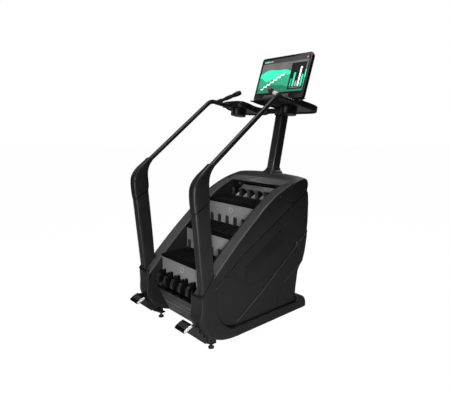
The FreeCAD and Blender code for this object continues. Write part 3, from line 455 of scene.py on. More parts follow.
def panel_x(y, z):
    """Outer face of the side panel: rounded rim, scoop, and the proud lower field."""
    x = 400.0
    line = level(SEAM_LOW, y) if y > 178 else 155 - (178 - y) * 0.6
    below = (line - z) * 0.82
    if y > 178:
        x += 4.5 * smooth(0.0, 4.5, below) * smooth(178, 230, y)
    (y0, z0), (y1, z1) = SCOOP
    edge = z0 + (z1 - z0) * (y - y0) / (y1 - y0)
    down = (edge - z) * 0.86
    along = smooth(y0 - 6, y0 + 60, y) * (1 - smooth(y1 - 260, y1 + 30, y))
    if down > 0:
        x -= 19.0 * along * smooth(0.0, 5.0, down) * (1 - smooth(10.0, 120.0, down))
    return x


def joint_and_painted_light_strip(shell, points, width=1.7, lift=0.5):
    """Thin strip laid along the outer face of the side panel: joint lines, painted highlight beads
    and a painted shade strip.
    """
    pts = spline([(y, z, 0) for y, z in points], 70)
    rows = []
    for k, p in enumerate(pts):
        a, b = pts[max(k - 1, 0)], pts[min(k + 1, len(pts) - 1)]
        n = Vector((a.y - b.y, b.x - a.x)).normalized() * (width / 2)
        x = panel_x(p.x, p.y) + lift
        rows.append([P(x, p.x + n.x, p.y + n.y), P(x, p.x - n.x, p.y - n.y),
                     P(x - 1.5, p.x - n.x, p.y - n.y), P(x - 1.5, p.x + n.x, p.y + n.y)])
    shell.loft(rows)


def dimple(shell, y, z, r, x=None):
    """Countersunk screw: a dished ring round a dark centre."""
    x = panel_x(y, z) if x is None else x
    shell.loft([[P(x + d, y + r * s * math.cos(t), z + r * s * math.sin(t))
                 for t in turn(20)]
                for d, s in ((-2.0, 1.0), (0.9, 1.0), (1.2, 0.9), (0.2, 0.55), (0.3, 0.2))])


def make_panel_lines():
    lines = Shell()
    joint_and_painted_light_strip(lines, [(72, 655), (100, 618), (139, 562), (219, 480), (302, 427), (399, 417), (510, 449),
                 (700, 515), (880, 588)])
    joint_and_painted_light_strip(lines, [(905, 438), (800, 376), (722, 330), (704, 312), (670, 265), (644, 205),
                 (636, 150)], 2.2)
    joint_and_painted_light_strip(lines, [(664, 1050), (690, 1028), (721, 1015), (768, 1003), (820, 1004)], 3.0)
    for y, z, r in ((489, 356, 8.0), (940, 1030, 4.5)):
        dimple(lines, y, z, r)
    # A dark strip just inside the scoop's upper edge: painted shade under the overhang.
    joint_and_painted_light_strip(lines, [(292, 565), (420, 640), (560, 722), (690, 798)], 6.0, 8.0)
    piece("panel_lines", lines.mirrored(), "tread_black")
    # Beads in a lighter black along two panel lines: painted highlight.
    highlight_beads = Shell()
    joint_and_painted_light_strip(highlight_beads, [(200, 164), (345, 256), (489, 348), (931, 670), (1012, 730)], 6.0, 0.6)
    joint_and_painted_light_strip(highlight_beads, [(722, 336), (800, 382), (905, 444), (950, 473)], 5.0, 0.6)
    piece("panel_highlight_beads", highlight_beads.mirrored(), "stringer_charcoal", mats=(HIGHLIGHT_CHARCOAL,))
    marks = Shell()
    dimple(marks, 661, 1061, 4.0, 399.6)
    piece("cap_screws", marks.mirrored(), "pad_cap_grey")


def make_side_panels():
    shell = Shell()
    ys = [-25 + i * 2.5 for i in range(12)]
    y = ys[-1]
    while y < 985:
        y += 6.0
        ys.append(y)
    while ys[-1] < 1018.0:
        ys.append(min(ys[-1] + 2.0, 1018.5))
    rows = 170
    rings = []
    for y in ys:
        lo, hi = panel_low(y), panel_high(y)
        col = []
        for k in range(rows + 1):
            z = lo + (hi - lo) * k / rows
            rim = min(z - lo, hi - z, (1019.5 - y) * 1.5, (y + 27) * 2)
            drop = 3.5 * (1 - smooth(0.0, 6.0, rim))
            col.append(P(panel_x(y, z) - drop, y, z))
        rings.append(col)
    shell.loft(rings, closed=False)
    piece("side_covers", shell.mirrored(), "charcoal_panel", replaces=["side_panels"],
          solid=0.006)


# --- treads and risers ---------------------------------------------------------------
RISE, RUN, STEP_HALF = 203.0, 252.0, 280.0
SLOT_X = (-250, -150, -50, 50, 150, 250)
FINGER_REACH = 73.0      # comb fingers, from the hinge
FINGER_CLEAR = 68.0      # the same on tread 4, which passes the rear cover
JOINT = {j["name"]: j for j in frame["record"]["behaviour"]["joints"]}


def pivot(name):
    p = JOINT[name]["pos_m"]
    return Vector(((p[1] - DATUM_Y) * 1000, p[2] * 1000))


def meet(a, ra, b, rb):
    """Where links of lengths ra from a and rb from b join, left of a to b."""
    d = (b - a).length
    u = (b - a) / d
    s = (ra * ra - rb * rb + d * d) / (2 * d)
    return a + u * s + Vector((-u.y, u.x)) * math.sqrt(ra * ra - s * s)


up = JOINT["stairs"]["axis"]
CHAIN = Vector((-up[1], -up[2])) * math.hypot(RISE, RUN)
FEET = {0: pivot("tread_8_hinge"), 3: pivot("riser_4_hinge"), 4: pivot("riser_5_hinge"),
        7: pivot("riser_8_hinge")}
FEET[1], FEET[2] = FEET[0] + CHAIN, FEET[0] + CHAIN * 2
NOSES = {i: meet(FEET[i], RISE, FEET[(i + 1) % 8], RUN) for i in (0, 1, 2, 3, 7)}
BODY_OF = {n: b for b, names in frame["record"]["behaviour"]["bodies"].items() for n in names}


def on_line(a, b):
    """Placement of a plate drawn along +Y from zero onto the line from a to b."""
    u = (b - a).normalized()
    return lambda v: P(v.x, a.x + v.y * u.x - v.z * u.y, a.y + v.y * u.y + v.z * u.x)


def make_tread(i):
    shell, w = Shell(), STEP_HALF
    reach = FINGER_CLEAR if i == 3 else FINGER_REACH
    prof = [(-3, -24), (-8, -23), (-8, -8), (-6.5, -4), (-3, -2), (36, -2), (38, 0)]
    y = 42.0
    while y < 232:
        prof += [(y, 0), (y + 0.8, -2.2), (y + 3.4, -2.2), (y + 4.2, 0)]
        y += 9.0
    prof += [(238, 0), (239, -2), (239, -24), (48, -24), (48, -6), (-3, -6)]
    # Every fourth rib top takes the lighter rib material: painted highlight.
    shell.loft([[(x, a, b) for a, b in prof] for x in (-w, w)],
               mark=lambda j, k: 1 if prof[k][1] == 0 and int(prof[k][0] / 9) % 4 == 1 else 0)
    x = -w + 6
    while x < w - 8:
        shell.loft([[(x, yy, -2.2), (x + 1, yy, -0.4), (x + 4, yy, -0.4), (x + 5, yy, -2.2)]
                    for yy in (-3.5, 34.0)])
        x += 10.0
    for sx in SLOT_X:
        arc = [(RUN + 2, -8.0)]
        arc += [(RUN + reach * math.cos(t), reach * math.sin(t))
                for t in (-0.1178 + k * (math.pi / 2 + 0.088) / 15 for k in range(16))]
        mid = Vector((RUN + 26, 24))
        rings = []
        for dx, s in ((-21, 0.93), (-19.8, 0.97), (-17, 1.0), (17, 1.0), (19.8, 0.97), (21, 0.93)):
            rings.append([(sx + dx, mid.x + (a - mid.x) * s, mid.y + (b - mid.y) * s)
                          for a, b in arc])
        # The outer rim faces of each comb finger take the lighter rib material: painted highlight.
        shell.loft(rings, mark=lambda j, k: 1 if j == 2 and k > 5 else 0)
        shell.block(sx - 20.5, sx + 20.5, RUN - 20, RUN + 10, -17.5, -1.5)
    name = "tread_%d" % (i + 1)
    shell.place(on_line(NOSES[i], FEET[(i + 1) % 8]))
    piece(name + "_ribbed", shell, "tread_black", body=BODY_OF[name], replaces=[name], sharp=30,
          mats=(MAT["tread_black"], RIB_HIGHLIGHT))


def make_riser(i):
    shell, w = Shell(), STEP_HALF
    out = [(-w, 9)]
    for sx in SLOT_X:
        out += [(sx - 24, 9), (sx - 24, 70)]
        out += [(sx - 16 - 8 * math.cos(t), 70 + 8 * math.sin(t))
                for t in (math.pi / 8, math.pi / 4, 3 * math.pi / 8, math.pi / 2)]
        out += [(sx + 16 + 8 * math.sin(t), 70 + 8 * math.cos(t))
                for t in (0, math.pi / 8, math.pi / 4, 3 * math.pi / 8)]
        out += [(sx + 24, 70), (sx + 24, 9)]
    out += [(w, 9), (w, 181), (-w, 181)]
    shell.loft([[(x, s, z) for x, s in out] for z in (-10.0, 0.0)])
    name = "riser_%d" % (i + 1)
    shell.place(on_line(FEET[i], NOSES[i]))
    piece(name + "_comb", shell, "riser_grey", body=BODY_OF[name], replaces=[name],
          bevel=0.0012)
    mark = Shell()
    inner, outer, n = 19.5, 21.5, 48
    for k in range(n):
        a0, a1 = 2 * math.pi * k / n, 2 * math.pi * (k + 1) / n
        quad = [(r * math.cos(a), 130 + r * math.sin(a)) for r, a in
                ((inner, a0), (outer, a0), (outer, a1), (inner, a1))]
        mark.loft([[(x, s, z) for x, s in quad] for z in (-0.4, 0.5)])
    mark.place(on_line(FEET[i], NOSES[i]))
    if i in (0, 2):
        piece("riser_ring_%d" % (i + 1), mark, "pad_cap_grey", body=BODY_OF[name])


KICK_LINES = (96, 148, 200, 254)


NOTCH_LOW = 306          # the comb notches start at this height


def make_kick_plate():
    """Grooved face with comb notches along its top edge."""
    path = []
    for z in range(70, 327, 2):
        y = level([(70, 60), (176, 8), (292, -46), (326, -58)], z)
        groove = max(0.0, 1.0 - min(abs(z - g) for g in KICK_LINES) / 4.0)
        path.append((y + 3.0 * groove, z))
    cuts = [-283]
    for sx in SLOT_X:
        cuts += [sx - 23, sx + 23]
    cuts += [283]
    shell = Shell()
    verts = [P(x, y, z) for x in cuts for y, z in path]
    n = len(path)
    faces, marks = [], []
    for c in range(len(cuts) - 1):
        for r in range(n - 1):
            if c % 2 == 1 and path[r][1] >= NOTCH_LOW:
                continue
            a = c * n + r
            z = path[r][1]
            faces.append((a, a + n, a + n + 1, a + 1))
            # The band above 300 mm and the faces of the grooves take tread_black: painted shade.
            marks.append(1 if z > 300 or min(abs(z + 1 - g) for g in KICK_LINES) < 4 else 0)
    shell.add(verts, faces, marks)
    piece("kick_plate_grooved", shell, "kick_grey", replaces=["kick_plate"], solid=-0.006,
          mats=(MAT["kick_grey"], MAT["tread_black"]))


# --- top cover -------------------------------------------------------------------------
def make_top_cover():
    """Arched cover with a slanted lip over the top step."""
    side = spline([(783, 1125), (782, 1138), (787, 1145), (800, 1149), (860, 1166), (925, 1179),
                   (962, 1185), (985, 1181), (1002, 1168), (1013, 1146), (1014, 1120),
                   (1010, 1096), (1000, 1082), (997, 1060), (997, 1030)], 72)
    mid = spline([(783, 1125), (782, 1138), (787, 1145), (800, 1149), (846, 1163), (915, 1192),
                  (960, 1203), (985, 1202), (1003, 1188), (1013, 1160), (1014, 1124),
                  (1010, 1096), (1000, 1082), (997, 1060), (997, 1030)], 72)
    centre = Vector((900, 1080))
    rings = []
    n = len(side)
    for x, inset in ((0, 0), (60, 0), (120, 0), (180, 0), (240, 0), (290, 0), (330, 0), (360, 0.3),
                     (378, 1.4), (388, 3.4), (395, 6.5), (399, 11), (400, 16)):
        arch = clamp(1 - (x / 385.0) ** 2.4)
        ring_x = [m.lerp(p, 1 - arch) for m, p in zip(mid, side)]
        rings.append([P(x, *(p + (centre - p).normalized() * inset)) for p in ring_x])
    low = []
    for k in range(n):
        y = 791 + (997 - 791) * k / (n - 1)
        low.append(P(400, y, level(GROOVE, y) + 3))
    rings.append(low)
    rings.append([v - X * 0.006 for v in low])
    shell = Shell()
    # The dome top takes a lighter black, the lip band the lightest and the sides and rear the
    # darkest: painted highlight and painted shade on one black cover.
    shell.loft(rings, closed=False,
               mark=lambda j, i: 1 if j >= 11 or i > 34 else 2 if side[i].x < 846 and j < 6 else 0)
    shell.mirrored()
    piece("top_cover_shell", shell, "stringer_charcoal", replaces=["top_cover"], solid=0.004,
          mats=(COVER_LIT, MAT["charcoal_panel"], HIGHLIGHT_CHARCOAL))
    fill = Shell()
    fill.block(399.0, 400.3, 785, 797, 925, 1130)
    piece("cover_joint_fill", fill.place(lambda v: P(*v)).mirrored(), "charcoal_panel")


# --- entry pads, feet -------------------------------------------------------------------
def make_entry_pads():
    """Ribbed roller pad with a light cap on each end."""
    body, caps = Shell(), Shell()
    prof = []
    for k in range(48):
        t = 2 * math.pi * k / 48
        y = 42 * sgn_pow(math.cos(t), 0.55)
        z = 14 * sgn_pow(math.sin(t), 0.7)
        if z > 9 and abs(y) < 34:
            z -= 4.5 * (0.5 + 0.5 * math.cos(2 * math.pi * (y + 26) / 17.4)) ** 2
        prof.append((y, z))
    # Rib crests on the pad's top take the lighter rib material: painted highlight.
    body.loft([[(x, y * s, z * s) for y, z in prof]
               for x, s in ((-52, 0.93), (-50, 1.0), (50, 1.0), (52, 0.93))],
              mark=lambda j, k: 1 if prof[k][1] + prof[(k + 1) % 48][1] > 26.6 else 0)
    for end in (-1, 1):
        caps.loft([[(end * (52 + d), y * s, z * s) for y, z in prof[::2 * end]]
                   for d, s in ((0.2, 0.88), (2.4, 0.88), (3.4, 0.76))])
    a = math.radians(24)

    def put(v):
        return P(FOOT_X - 20 + v.x, -230 + v.y * math.cos(a) - v.z * math.sin(a),
                 236 + v.y * math.sin(a) + v.z * math.cos(a))
    piece("entry_rollers", body.place(put).mirrored(), "grip_rubber", replaces=["entry_pads"],
          mats=(MAT["tread_black"], RIB_HIGHLIGHT))
    piece("entry_roller_caps", caps.place(put).mirrored(), "pad_cap_grey", replaces=["pad_caps"])


FOOT_X = 338.0


def make_foot_brackets():
    """Plate that carries each entry pad, and the lug above each levelling foot."""
    def flat(loops, x0, x1):
        shell.sheet([[Vector((y, z, 0)) for y, z in loop] for loop in loops], x0, x1,
                    lambda u, v, d: P(d, u, v))

    def hole(y, z, r):
        return [(y + r * math.cos(t), z + r * math.sin(t))
                for t in turn(20)]
    shell = Shell()
    flat([[(-222, 199), (-214, 236), (-200, 254), (-152, 250), (-134, 222), (-112, 188),
           (-90, 158), (-70, 134), (-70, 66), (-80, 70)],
          hole(-157, 230, 5), hole(-127, 182, 5), hole(-86, 131, 5)], 362, 368)
    flat([[(-49, 124), (-20, 104), (7, 86), (8, 66), (-8, 60), (-47, 60)], hole(-25, 74, 4)],
         362, 368)
    flat([[(-222, 199), (-200, 254), (-192, 254), (-192, 186)]], 322, 362)
    piece("foot_bracket_plates", shell.mirrored(), "frame_black", replaces=["foot_brackets"],
          bevel=0.001, mats=(surface("bracket_paint", (0.01, 0.01, 0.01), 0.5),))
    web = Shell()
    web.block(FOOT_X - 22, 361.6, -16, 30, 38, 46)
    web.block(FOOT_X - 22, 361.6, -16, -9, 46, 104)
    web.place(lambda v: P(*v))
    web.sheet([[Vector((y, z, 0)) for y, z in
                [(-120, 120), (-90, 156), (-49, 122), (7, 84), (30, 66), (30, 38), (-16, 38),
                 (-60, 62)]]],
              352, 361.6, lambda u, v, d: P(d, u, v))
    web.loft([[P(368.4, *(Vector(p) + Vector((dy, 0)))) for p, dy in
               (((-190, 213), 0), ((-163, 158), 0), ((-163, 158), 3), ((-190, 213), 3))],
              [P(367, *(Vector(p) + Vector((dy, 0)))) for p, dy in
               (((-190, 213), 0), ((-163, 158), 0), ((-163, 158), 3), ((-190, 213), 3))]])
    piece("foot_bracket_webs", web.mirrored(), "frame_black", bevel=0.001)
    # Dark discs a little wider than the bracket's holes: painted shade for the dark inside the
    # holes.
    bolts = Shell()
    for y, z, r in ((-157, 230, 8.5), (-127, 182, 8.5), (-86, 131, 8.5), (-25, 74, 7)):
        bolts.loft([[P(x, y + r * math.cos(t), z + r * math.sin(t))
                     for t in turn(20)] for x in (361.8, 368.8)])
    piece("foot_bracket_hole_shades", bolts.mirrored(), "tread_black")


# --- rails, grips, trays ------------------------------------------------------------------
TRAY_SLOPE = 0.19
CUP = Vector((293.0, 862.0))


def plane(x, y, h=0.0):
    """Point at height h over the sloping plane of the rails' rear legs."""
    fall = math.atan(TRAY_SLOPE)
    return P(x, y + h * math.sin(fall), 1829.0 - TRAY_SLOPE * (y - 605.0) + h * math.cos(fall))


def make_trays():
    """Dished tray with a tall wavy rim, and the band across the back."""
    rim = [(392, 800), (384, 757), (330, 747), (250, 744), (190, 747), (162, 762), (156, 792),
           (159, 830), (169, 870), (181, 912), (190, 950), (186, 985), (168, 1016), (140, 1042),
           (110, 1060)]
    shell = Shell()
    pts = spline([(x, y, 0) for x, y in rim], 64)
    rings = []
    for k, p in enumerate(pts):
        a, b = pts[max(k - 1, 0)], pts[min(k + 1, len(pts) - 1)]
        side = Vector((b.y - a.y, a.x - b.x)).normalized()
        s = k / (len(pts) - 1)
        low = -30 + 8 * (1 - smooth(0.0, 0.12, s))
        high = 24 - 10 * (1 - smooth(0.0, 0.15, s)) - 3 * smooth(0.75, 1.0, s)
        sec = [(0, low + 3), (2, low), (7, low), (9, low + 3), (9, high - 4), (7, high - 1),
               (4.5, high), (2, high - 1), (0, high - 4)]
        rings.append([plane(p.x + side.x * -d, p.y + side.y * -d, h) for d, h in sec])
    shell.loft(rings)
    outer = [(409, 770), (414, 800), (419, 850), (422, 920), (423, 980), (419, 1022), (404, 1055),
             (376, 1075), (330, 1083), (260, 1085), (170, 1085)]
    rings = []
    pts = spline([(x, y, 0) for x, y in outer], 60)
    for k, p in enumerate(pts):
        a, b = pts[max(k - 1, 0)], pts[min(k + 1, len(pts) - 1)]
        side = Vector((b.y - a.y, a.x - b.x)).normalized()
        s = k / (len(pts) - 1)
        low = -27 + 14 * (1 - smooth(0.0, 0.2, s))
        high = 25 - 8 * (1 - smooth(0.0, 0.15, s))
        thick = 5 + 9 * smooth(0.0, 0.2, s)
        sec = [(0, low + 8), (2, low + 3), (6, low), (thick, low), (thick + 4, low + 4),
               (thick + 4, high - 6), (thick, high - 1), (7, high), (2.5, high - 2.5),
               (0, high - 8)]
        rings.append([plane(p.x + side.x * d, p.y + side.y * d, h) for d, h in sec])
    shell.loft(rings)
    plan = [Vector((x, y, 0)) for x, y in [(390, 800), (384, 764), (330, 754), (250, 751),
            (192, 753), (170, 766), (164, 792), (166, 830), (176, 870), (188, 912), (197, 950),
            (193, 988), (176, 1020), (150, 1046), (140, 1066), (330, 1066), (370, 1058),
            (396, 1035), (404, 1000), (404, 900)]]
    hole = [Vector((CUP.x + 66 * math.cos(t), CUP.y + 66 * math.sin(t), 0))
            for t in turn(48)]
    shell.sheet([plan, hole], -17.0, -12.0, lambda u, v, h: plane(u, v, h))
    gloss = surface("tray_gloss", (0.006, 0.006, 0.006), 0.36, shine=0.3)
    piece("tray_shells", shell.mirrored(), "moulded_black", replaces=["trays"], sharp=35,
          mats=(gloss,))
    cup = Shell()
    rings = []
    for r, h in ((62.5, -79), (0.5, -79.5), (0.5, -83), (60, -83), (65, -82), (68, -79),
                 (68.8, -60), (69.2, -18), (70.5, -12.5), (70.5, -9), (69, -7.8), (66, -8),
                 (65, -12), (64.5, -60), (63.5, -77)):
        rings.append([plane(CUP.x + r * math.cos(t), CUP.y + r * math.sin(t), h)
                      for t in turn(56)])
    cup.loft(rings + [rings[0]], caps=False)
    piece("cup_wells", cup.mirrored(), "moulded_black", replaces=["cup_holders"], sharp=35,
          mats=(gloss,))
    band = Shell()
    rings = []
    for x in range(-172, 173, 8):
        c = plane(x, 1063.0, 0.0)
        up = (plane(x, 1063.0, 1.0) - c).normalized()
        rings.append(ring(c, Vector((0, 1, 0)), up, 0.0205, 0.0245, 3.0, 28))
    band.loft(rings)
    piece("rear_band", band, "satin_black_metal")


GRIP_A, GRIP_B = (389.0, 672.0, 1816.3), (168.0, 762.0, 1897.0)


def make_grips():
    a, b = P(*GRIP_A), P(*GRIP_B)
    d = (b - a).normalized()
    length = (b - a).length * 1000
    side = d.cross(Vector((0, 0, 1))).normalized()
    up = side.cross(d).normalized()

    def turned(profile, n=28, power=2.0):
        return [ring(a + d * (s / 1000), side, up, r / 1000, r * w / 1000, power, n)
                for s, r, w in profile]
    body = Shell()
    body.loft(turned([(0, 19, 1), (24, 19.5, 1), (50, 19, 1), (55, 18.4, 1), (57, 16.2, 1),
                      (60, 14.6, 1), (120, 14.4, 1), (length - 96, 14.6, 1),
                      (length - 80, 16.0, 1), (length - 66, 19.2, 1), (length - 54, 20.6, 1),
                      (length - 30, 21.0, 1), (length - 14, 20.4, 1), (length - 5, 17.6, 1),
                      (length - 1, 13.5, 1), (length, 9.0, 1)]))
    piece("grip_bodies", body.mirrored(), "grip_rubber", replaces=["grips"], sharp=50)
    sleeve = Shell()
    sleeve.loft(turned([(length - 158, 14.8, 1), (length - 157, 17.2, 1), (length - 153, 17.9, 1),
                        (length - 98, 17.9, 1), (length - 94, 17.2, 1), (length - 93, 14.8, 1)]),
                caps=False)
    piece("pulse_sleeve_right", sleeve, "sensor_steel", replaces=["pulse_sensors"], sharp=50)
    other = Shell()
    other.verts, other.faces = list(sleeve.verts), list(sleeve.faces)
    other.marks = list(sleeve.marks)
    other.verts = [Vector((-v.x, v.y, v.z)) for v in other.verts]
    piece("pulse_sleeve_left", other, "grip_rubber", sharp=50)
    face = (up * 0.72 - side * 0.69).normalized()
    if face.y > 0:
        face = (up * 0.72 + side * 0.69).normalized()
    across = d.cross(face).normalized()
    for tag, flip in (("r", 1), ("l", -1)):
        key, seat = Shell(), Shell()
        at = a + d * ((length - 36) / 1000)
        for shell, rx, ry, lows in ((key, 12.0, 6.2, ((15, 1), (22.2, 1), (23.4, 0.82))),
                                    (seat, 14.5, 8.4, ((15, 1), (20.6, 1), (21.4, 0.93)))):
            shell.loft([ring(at + face * (h / 1000), d, across,
                             rx * s / 1000, ry * s / 1000, 5.0, 32)
                        for h, s in lows])
            shell.place(lambda v: Vector((v.x * flip, v.y, v.z)))
        name = "grip_button_" + tag
        piece(name + "_key", key, "button_red", body=BODY_OF[name], replaces=[name], sharp=50)
        piece(name + "_seat", seat, "grip_rubber", sharp=50)


# --- mast and console -----------------------------------------------------------------------
def make_mast():
    lean = (1112.0 - 996.0) / (1700.0 - 1176.0)
    post = Shell()
    post.loft([ring(P(0, 996 + lean * (z - 1176), z), X, Vector((0, 1, 0)),
                    0.0445, 0.0465, 5.5, 48)
               for z in (1176, 1300, 1450, 1600, 1724)])
    piece("mast_tube", post, "satin_black_metal", replaces=["mast"], sharp=60)
    collar = Shell()
    rings = []
    for z, w, front, rear in ((1190, 77, 88, 72), (1204, 76, 86, 70), (1208, 73, 80, 68),
                              (1216, 62, 66, 61), (1226, 55, 57, 57), (1236, 52.5, 53, 54),
                              (1241, 50.5, 51, 52), (1242, 46, 47.5, 48.5)):
        y = 996 + lean * (z - 1176)
        rings.append([P(p.x, y + (p.y if p.y > 0 else p.y * front / rear), z) for p in
                      ring(Vector((0, 0, 0)), X * w, Vector((0, rear, 0)), 1.0, 1.0, 4.0, 48)])
    collar.loft(rings)
    piece("mast_collar_cover", collar, "moulded_black", replaces=["mast_collar"], sharp=50)
    head = Shell()
    rings = []
    for z, y, w, hy in ((1704, 1108, 48, 49), (1710, 1109, 51, 52), (1740, 1108, 52, 52),
                        (1768, 1107, 51, 52), (1778, 1107, 47, 48)):
        rings.append([P(p.x, y + p.y, z) for p in
                      ring(Vector((0, 0, 0)), X * w, Vector((0, hy, 0)), 1.0, 1.0, 5.0, 48)])
    head.loft(rings)
    rings = []
    for z, y, w, hy in ((1772, 1122, 40, 26), (1800, 1122, 39, 26), (1850, 1136, 38, 27),
                        (1920, 1166, 37, 27), (1985, 1190, 36, 22)):
        rings.append([P(p.x, y + p.y, z) for p in
                      ring(Vector((0, 0, 0)), X * w, Vector((0, hy, 0)), 1.0, 1.0, 4.0, 40)])
    head.loft(rings)
    piece("mast_head_cover", head, "moulded_black", replaces=["mast_head"], sharp=50)
    bolts = Shell()
    for x, y, z, r in ((52.0, 1094, 1722, 7.0), (52.0, 1120, 1762, 5.0), (52.0, 1090, 1762, 5.0)):
        rings = []
        for d, s in ((-2, 1), (1.2, 1), (2.0, 0.8), (2.0, 0.5), (0.6, 0.46)):
            rings.append([P(x + d, y + r * s * math.cos(t), z + r * s * math.sin(t))
                          for t in turn(20)])
        bolts.loft(rings)
    piece("mast_bolts", bolts.mirrored(), "key_grey", sharp=50)


TILT = math.radians(19.0)


def S(x, s, d=0.0):
    """Screen plane: X across, s up the glass, d into the back."""
    return P(x, 1030 + d * math.cos(TILT) + s * math.sin(TILT),
             1841 - d * math.sin(TILT) + s * math.cos(TILT))


def rrect(x0, x1, z0, z1, r, n=7):
    out = []
    for cx, cz, a0 in ((x1 - r, z0 + r, -90), (x1 - r, z1 - r, 0), (x0 + r, z1 - r, 90),
                       (x0 + r, z0 + r, 180)):
        for k in range(n):
            a = math.radians(a0 + 90 * k / (n - 1))
            out.append(Vector((cx + r * math.cos(a), cz + r * math.sin(a), 0)))
    return out


def make_console():
    w, h = 287.0, 407.0
    window = rrect(-w + 22, w - 22, 66, h - 20, 4)
    strip = rrect(-172, 128, 20, 50, 14.9)
    bezel = Shell()
    bezel.sheet([rrect(-w + 2, w - 2, 2, h - 2, 20), window, strip], 0.0, 3.0,
                lambda u, v, d: S(u, v, d))
    bezel.loft([[S(p.x, p.y, d) for p in rrect(-w + i, w - i, i, h - i, 22 - i)]
                for i, d in ((2, 0.0), (0.6, 0.8), (0, 2.4), (0, 13.5), (1.5, 16.0), (8, 16.2))],
               caps=False)
    bezel.loft([[S(p.x, p.y, 16.2) for p in rrect(-w + 8, w - 8, 8, h - 8, 14)],
                [S(p.x, p.y, 3.2) for p in rrect(-w + 8, w - 8, 8, h - 8, 14)]])
    piece("bezel_frame", bezel, "screen_frame", replaces=["console_bezel"], sharp=30)
    pad = Shell()
    pad.loft([[S(p.x, p.y, d) for p in rrect(-171.4 + i, 127.4 - i, 20.6 + i, 49.4 - i, 14.3 - i)]
              for i, d in ((0, 3.0), (0, 1.2), (1.4, 0.3), (9, 0.9))])
    piece("key_strip_pad", pad, "key_grey", replaces=["key_strip"], sharp=50)
    port = Shell()
    port.loft([[S(p.x, p.y, d) for p in rrect(-262, -249, 10, 16, 2.9)]
               for d in (0.5, -0.5)])
    piece("side_port", port, "pad_cap_grey", sharp=50)
    back = Shell()
    back.loft([[S(p.x, p.y, d) for p in rrect(-w + i, w - i, i, h - i, max(22 - i * 0.3, 8))]
               for i, d in ((3, 16.0), (3, 34.0), (5, 41.0), (10, 45.0), (18, 46.5), (40, 47.5))])
    back.loft([[S(p.x, p.y, d) for p in rrect(-152 + i, 152 - i, 40 + i, 300 - i, 32 - i * 0.4)]
               for i, d in ((0, 44.0), (1, 60.0), (5, 68.0), (12, 72.5), (24, 74.0))])
    for k in range(9):
        z = 328 + k * 6.0
        back.loft([[S(p.x, p.y, d) for p in rrect(-120, 120, z, z + 3.2, 1.5, 4)]
                   for d in (46.0, 48.6)])
    back.loft([[S(p.x, p.y, d) for p in rrect(-39 + i, 39 - i, 58 + i, 202 - i, 10)]
               for i, d in ((0, 70.0), (0, 88.0), (4, 92.0))])
    piece("console_back_shell", back, "moulded_black", replaces=["console_back"], sharp=35)
    shelf = Shell()
    rings = []
    for k in range(61):
        x = -292 + 584 * k / 60
        f = 1 - (abs(x) / 292) ** 2.1
        low = 1842 - 9 - 58 * f
        end = smooth(292, 282, abs(x))
        lift = 6.0 * (1 - end)
        bow = 10 * f
        y0, y1 = 990 - bow + 10 * (1 - end), 1071
        top = 1842 - lift
        rings.append([P(x, y, z) for y, z in
                      ((y0 + 6, top), (y0 + 2.5, top - 1), (y0, top - 3.5), (y0 + 1, top - 7),
                       (y0 + 6 + (low - 1842) * -0.18, (top + low) / 2 - 2),
                       (y0 + 16 + (low - 1842) * -0.3, low + 5),
                       (y0 + 24 + (low - 1842) * -0.3, low + 1), (y1 - 10, low),
                       (y1 - 2, low + 3), (y1, low + 8 if low + 8 < top - 4 else top - 4),
                       (y1, top - 2), (y1 - 3, top), (y1 - 30, top), (y1 - 40, top - 5),
                       (y0 + 20, top - 5), (y0 + 12, top - 2))])
    shelf.loft(rings)
    piece("console_shelf_shell", shelf, "moulded_black", replaces=["console_shelf"], sharp=35)
    make_picture(w, h)


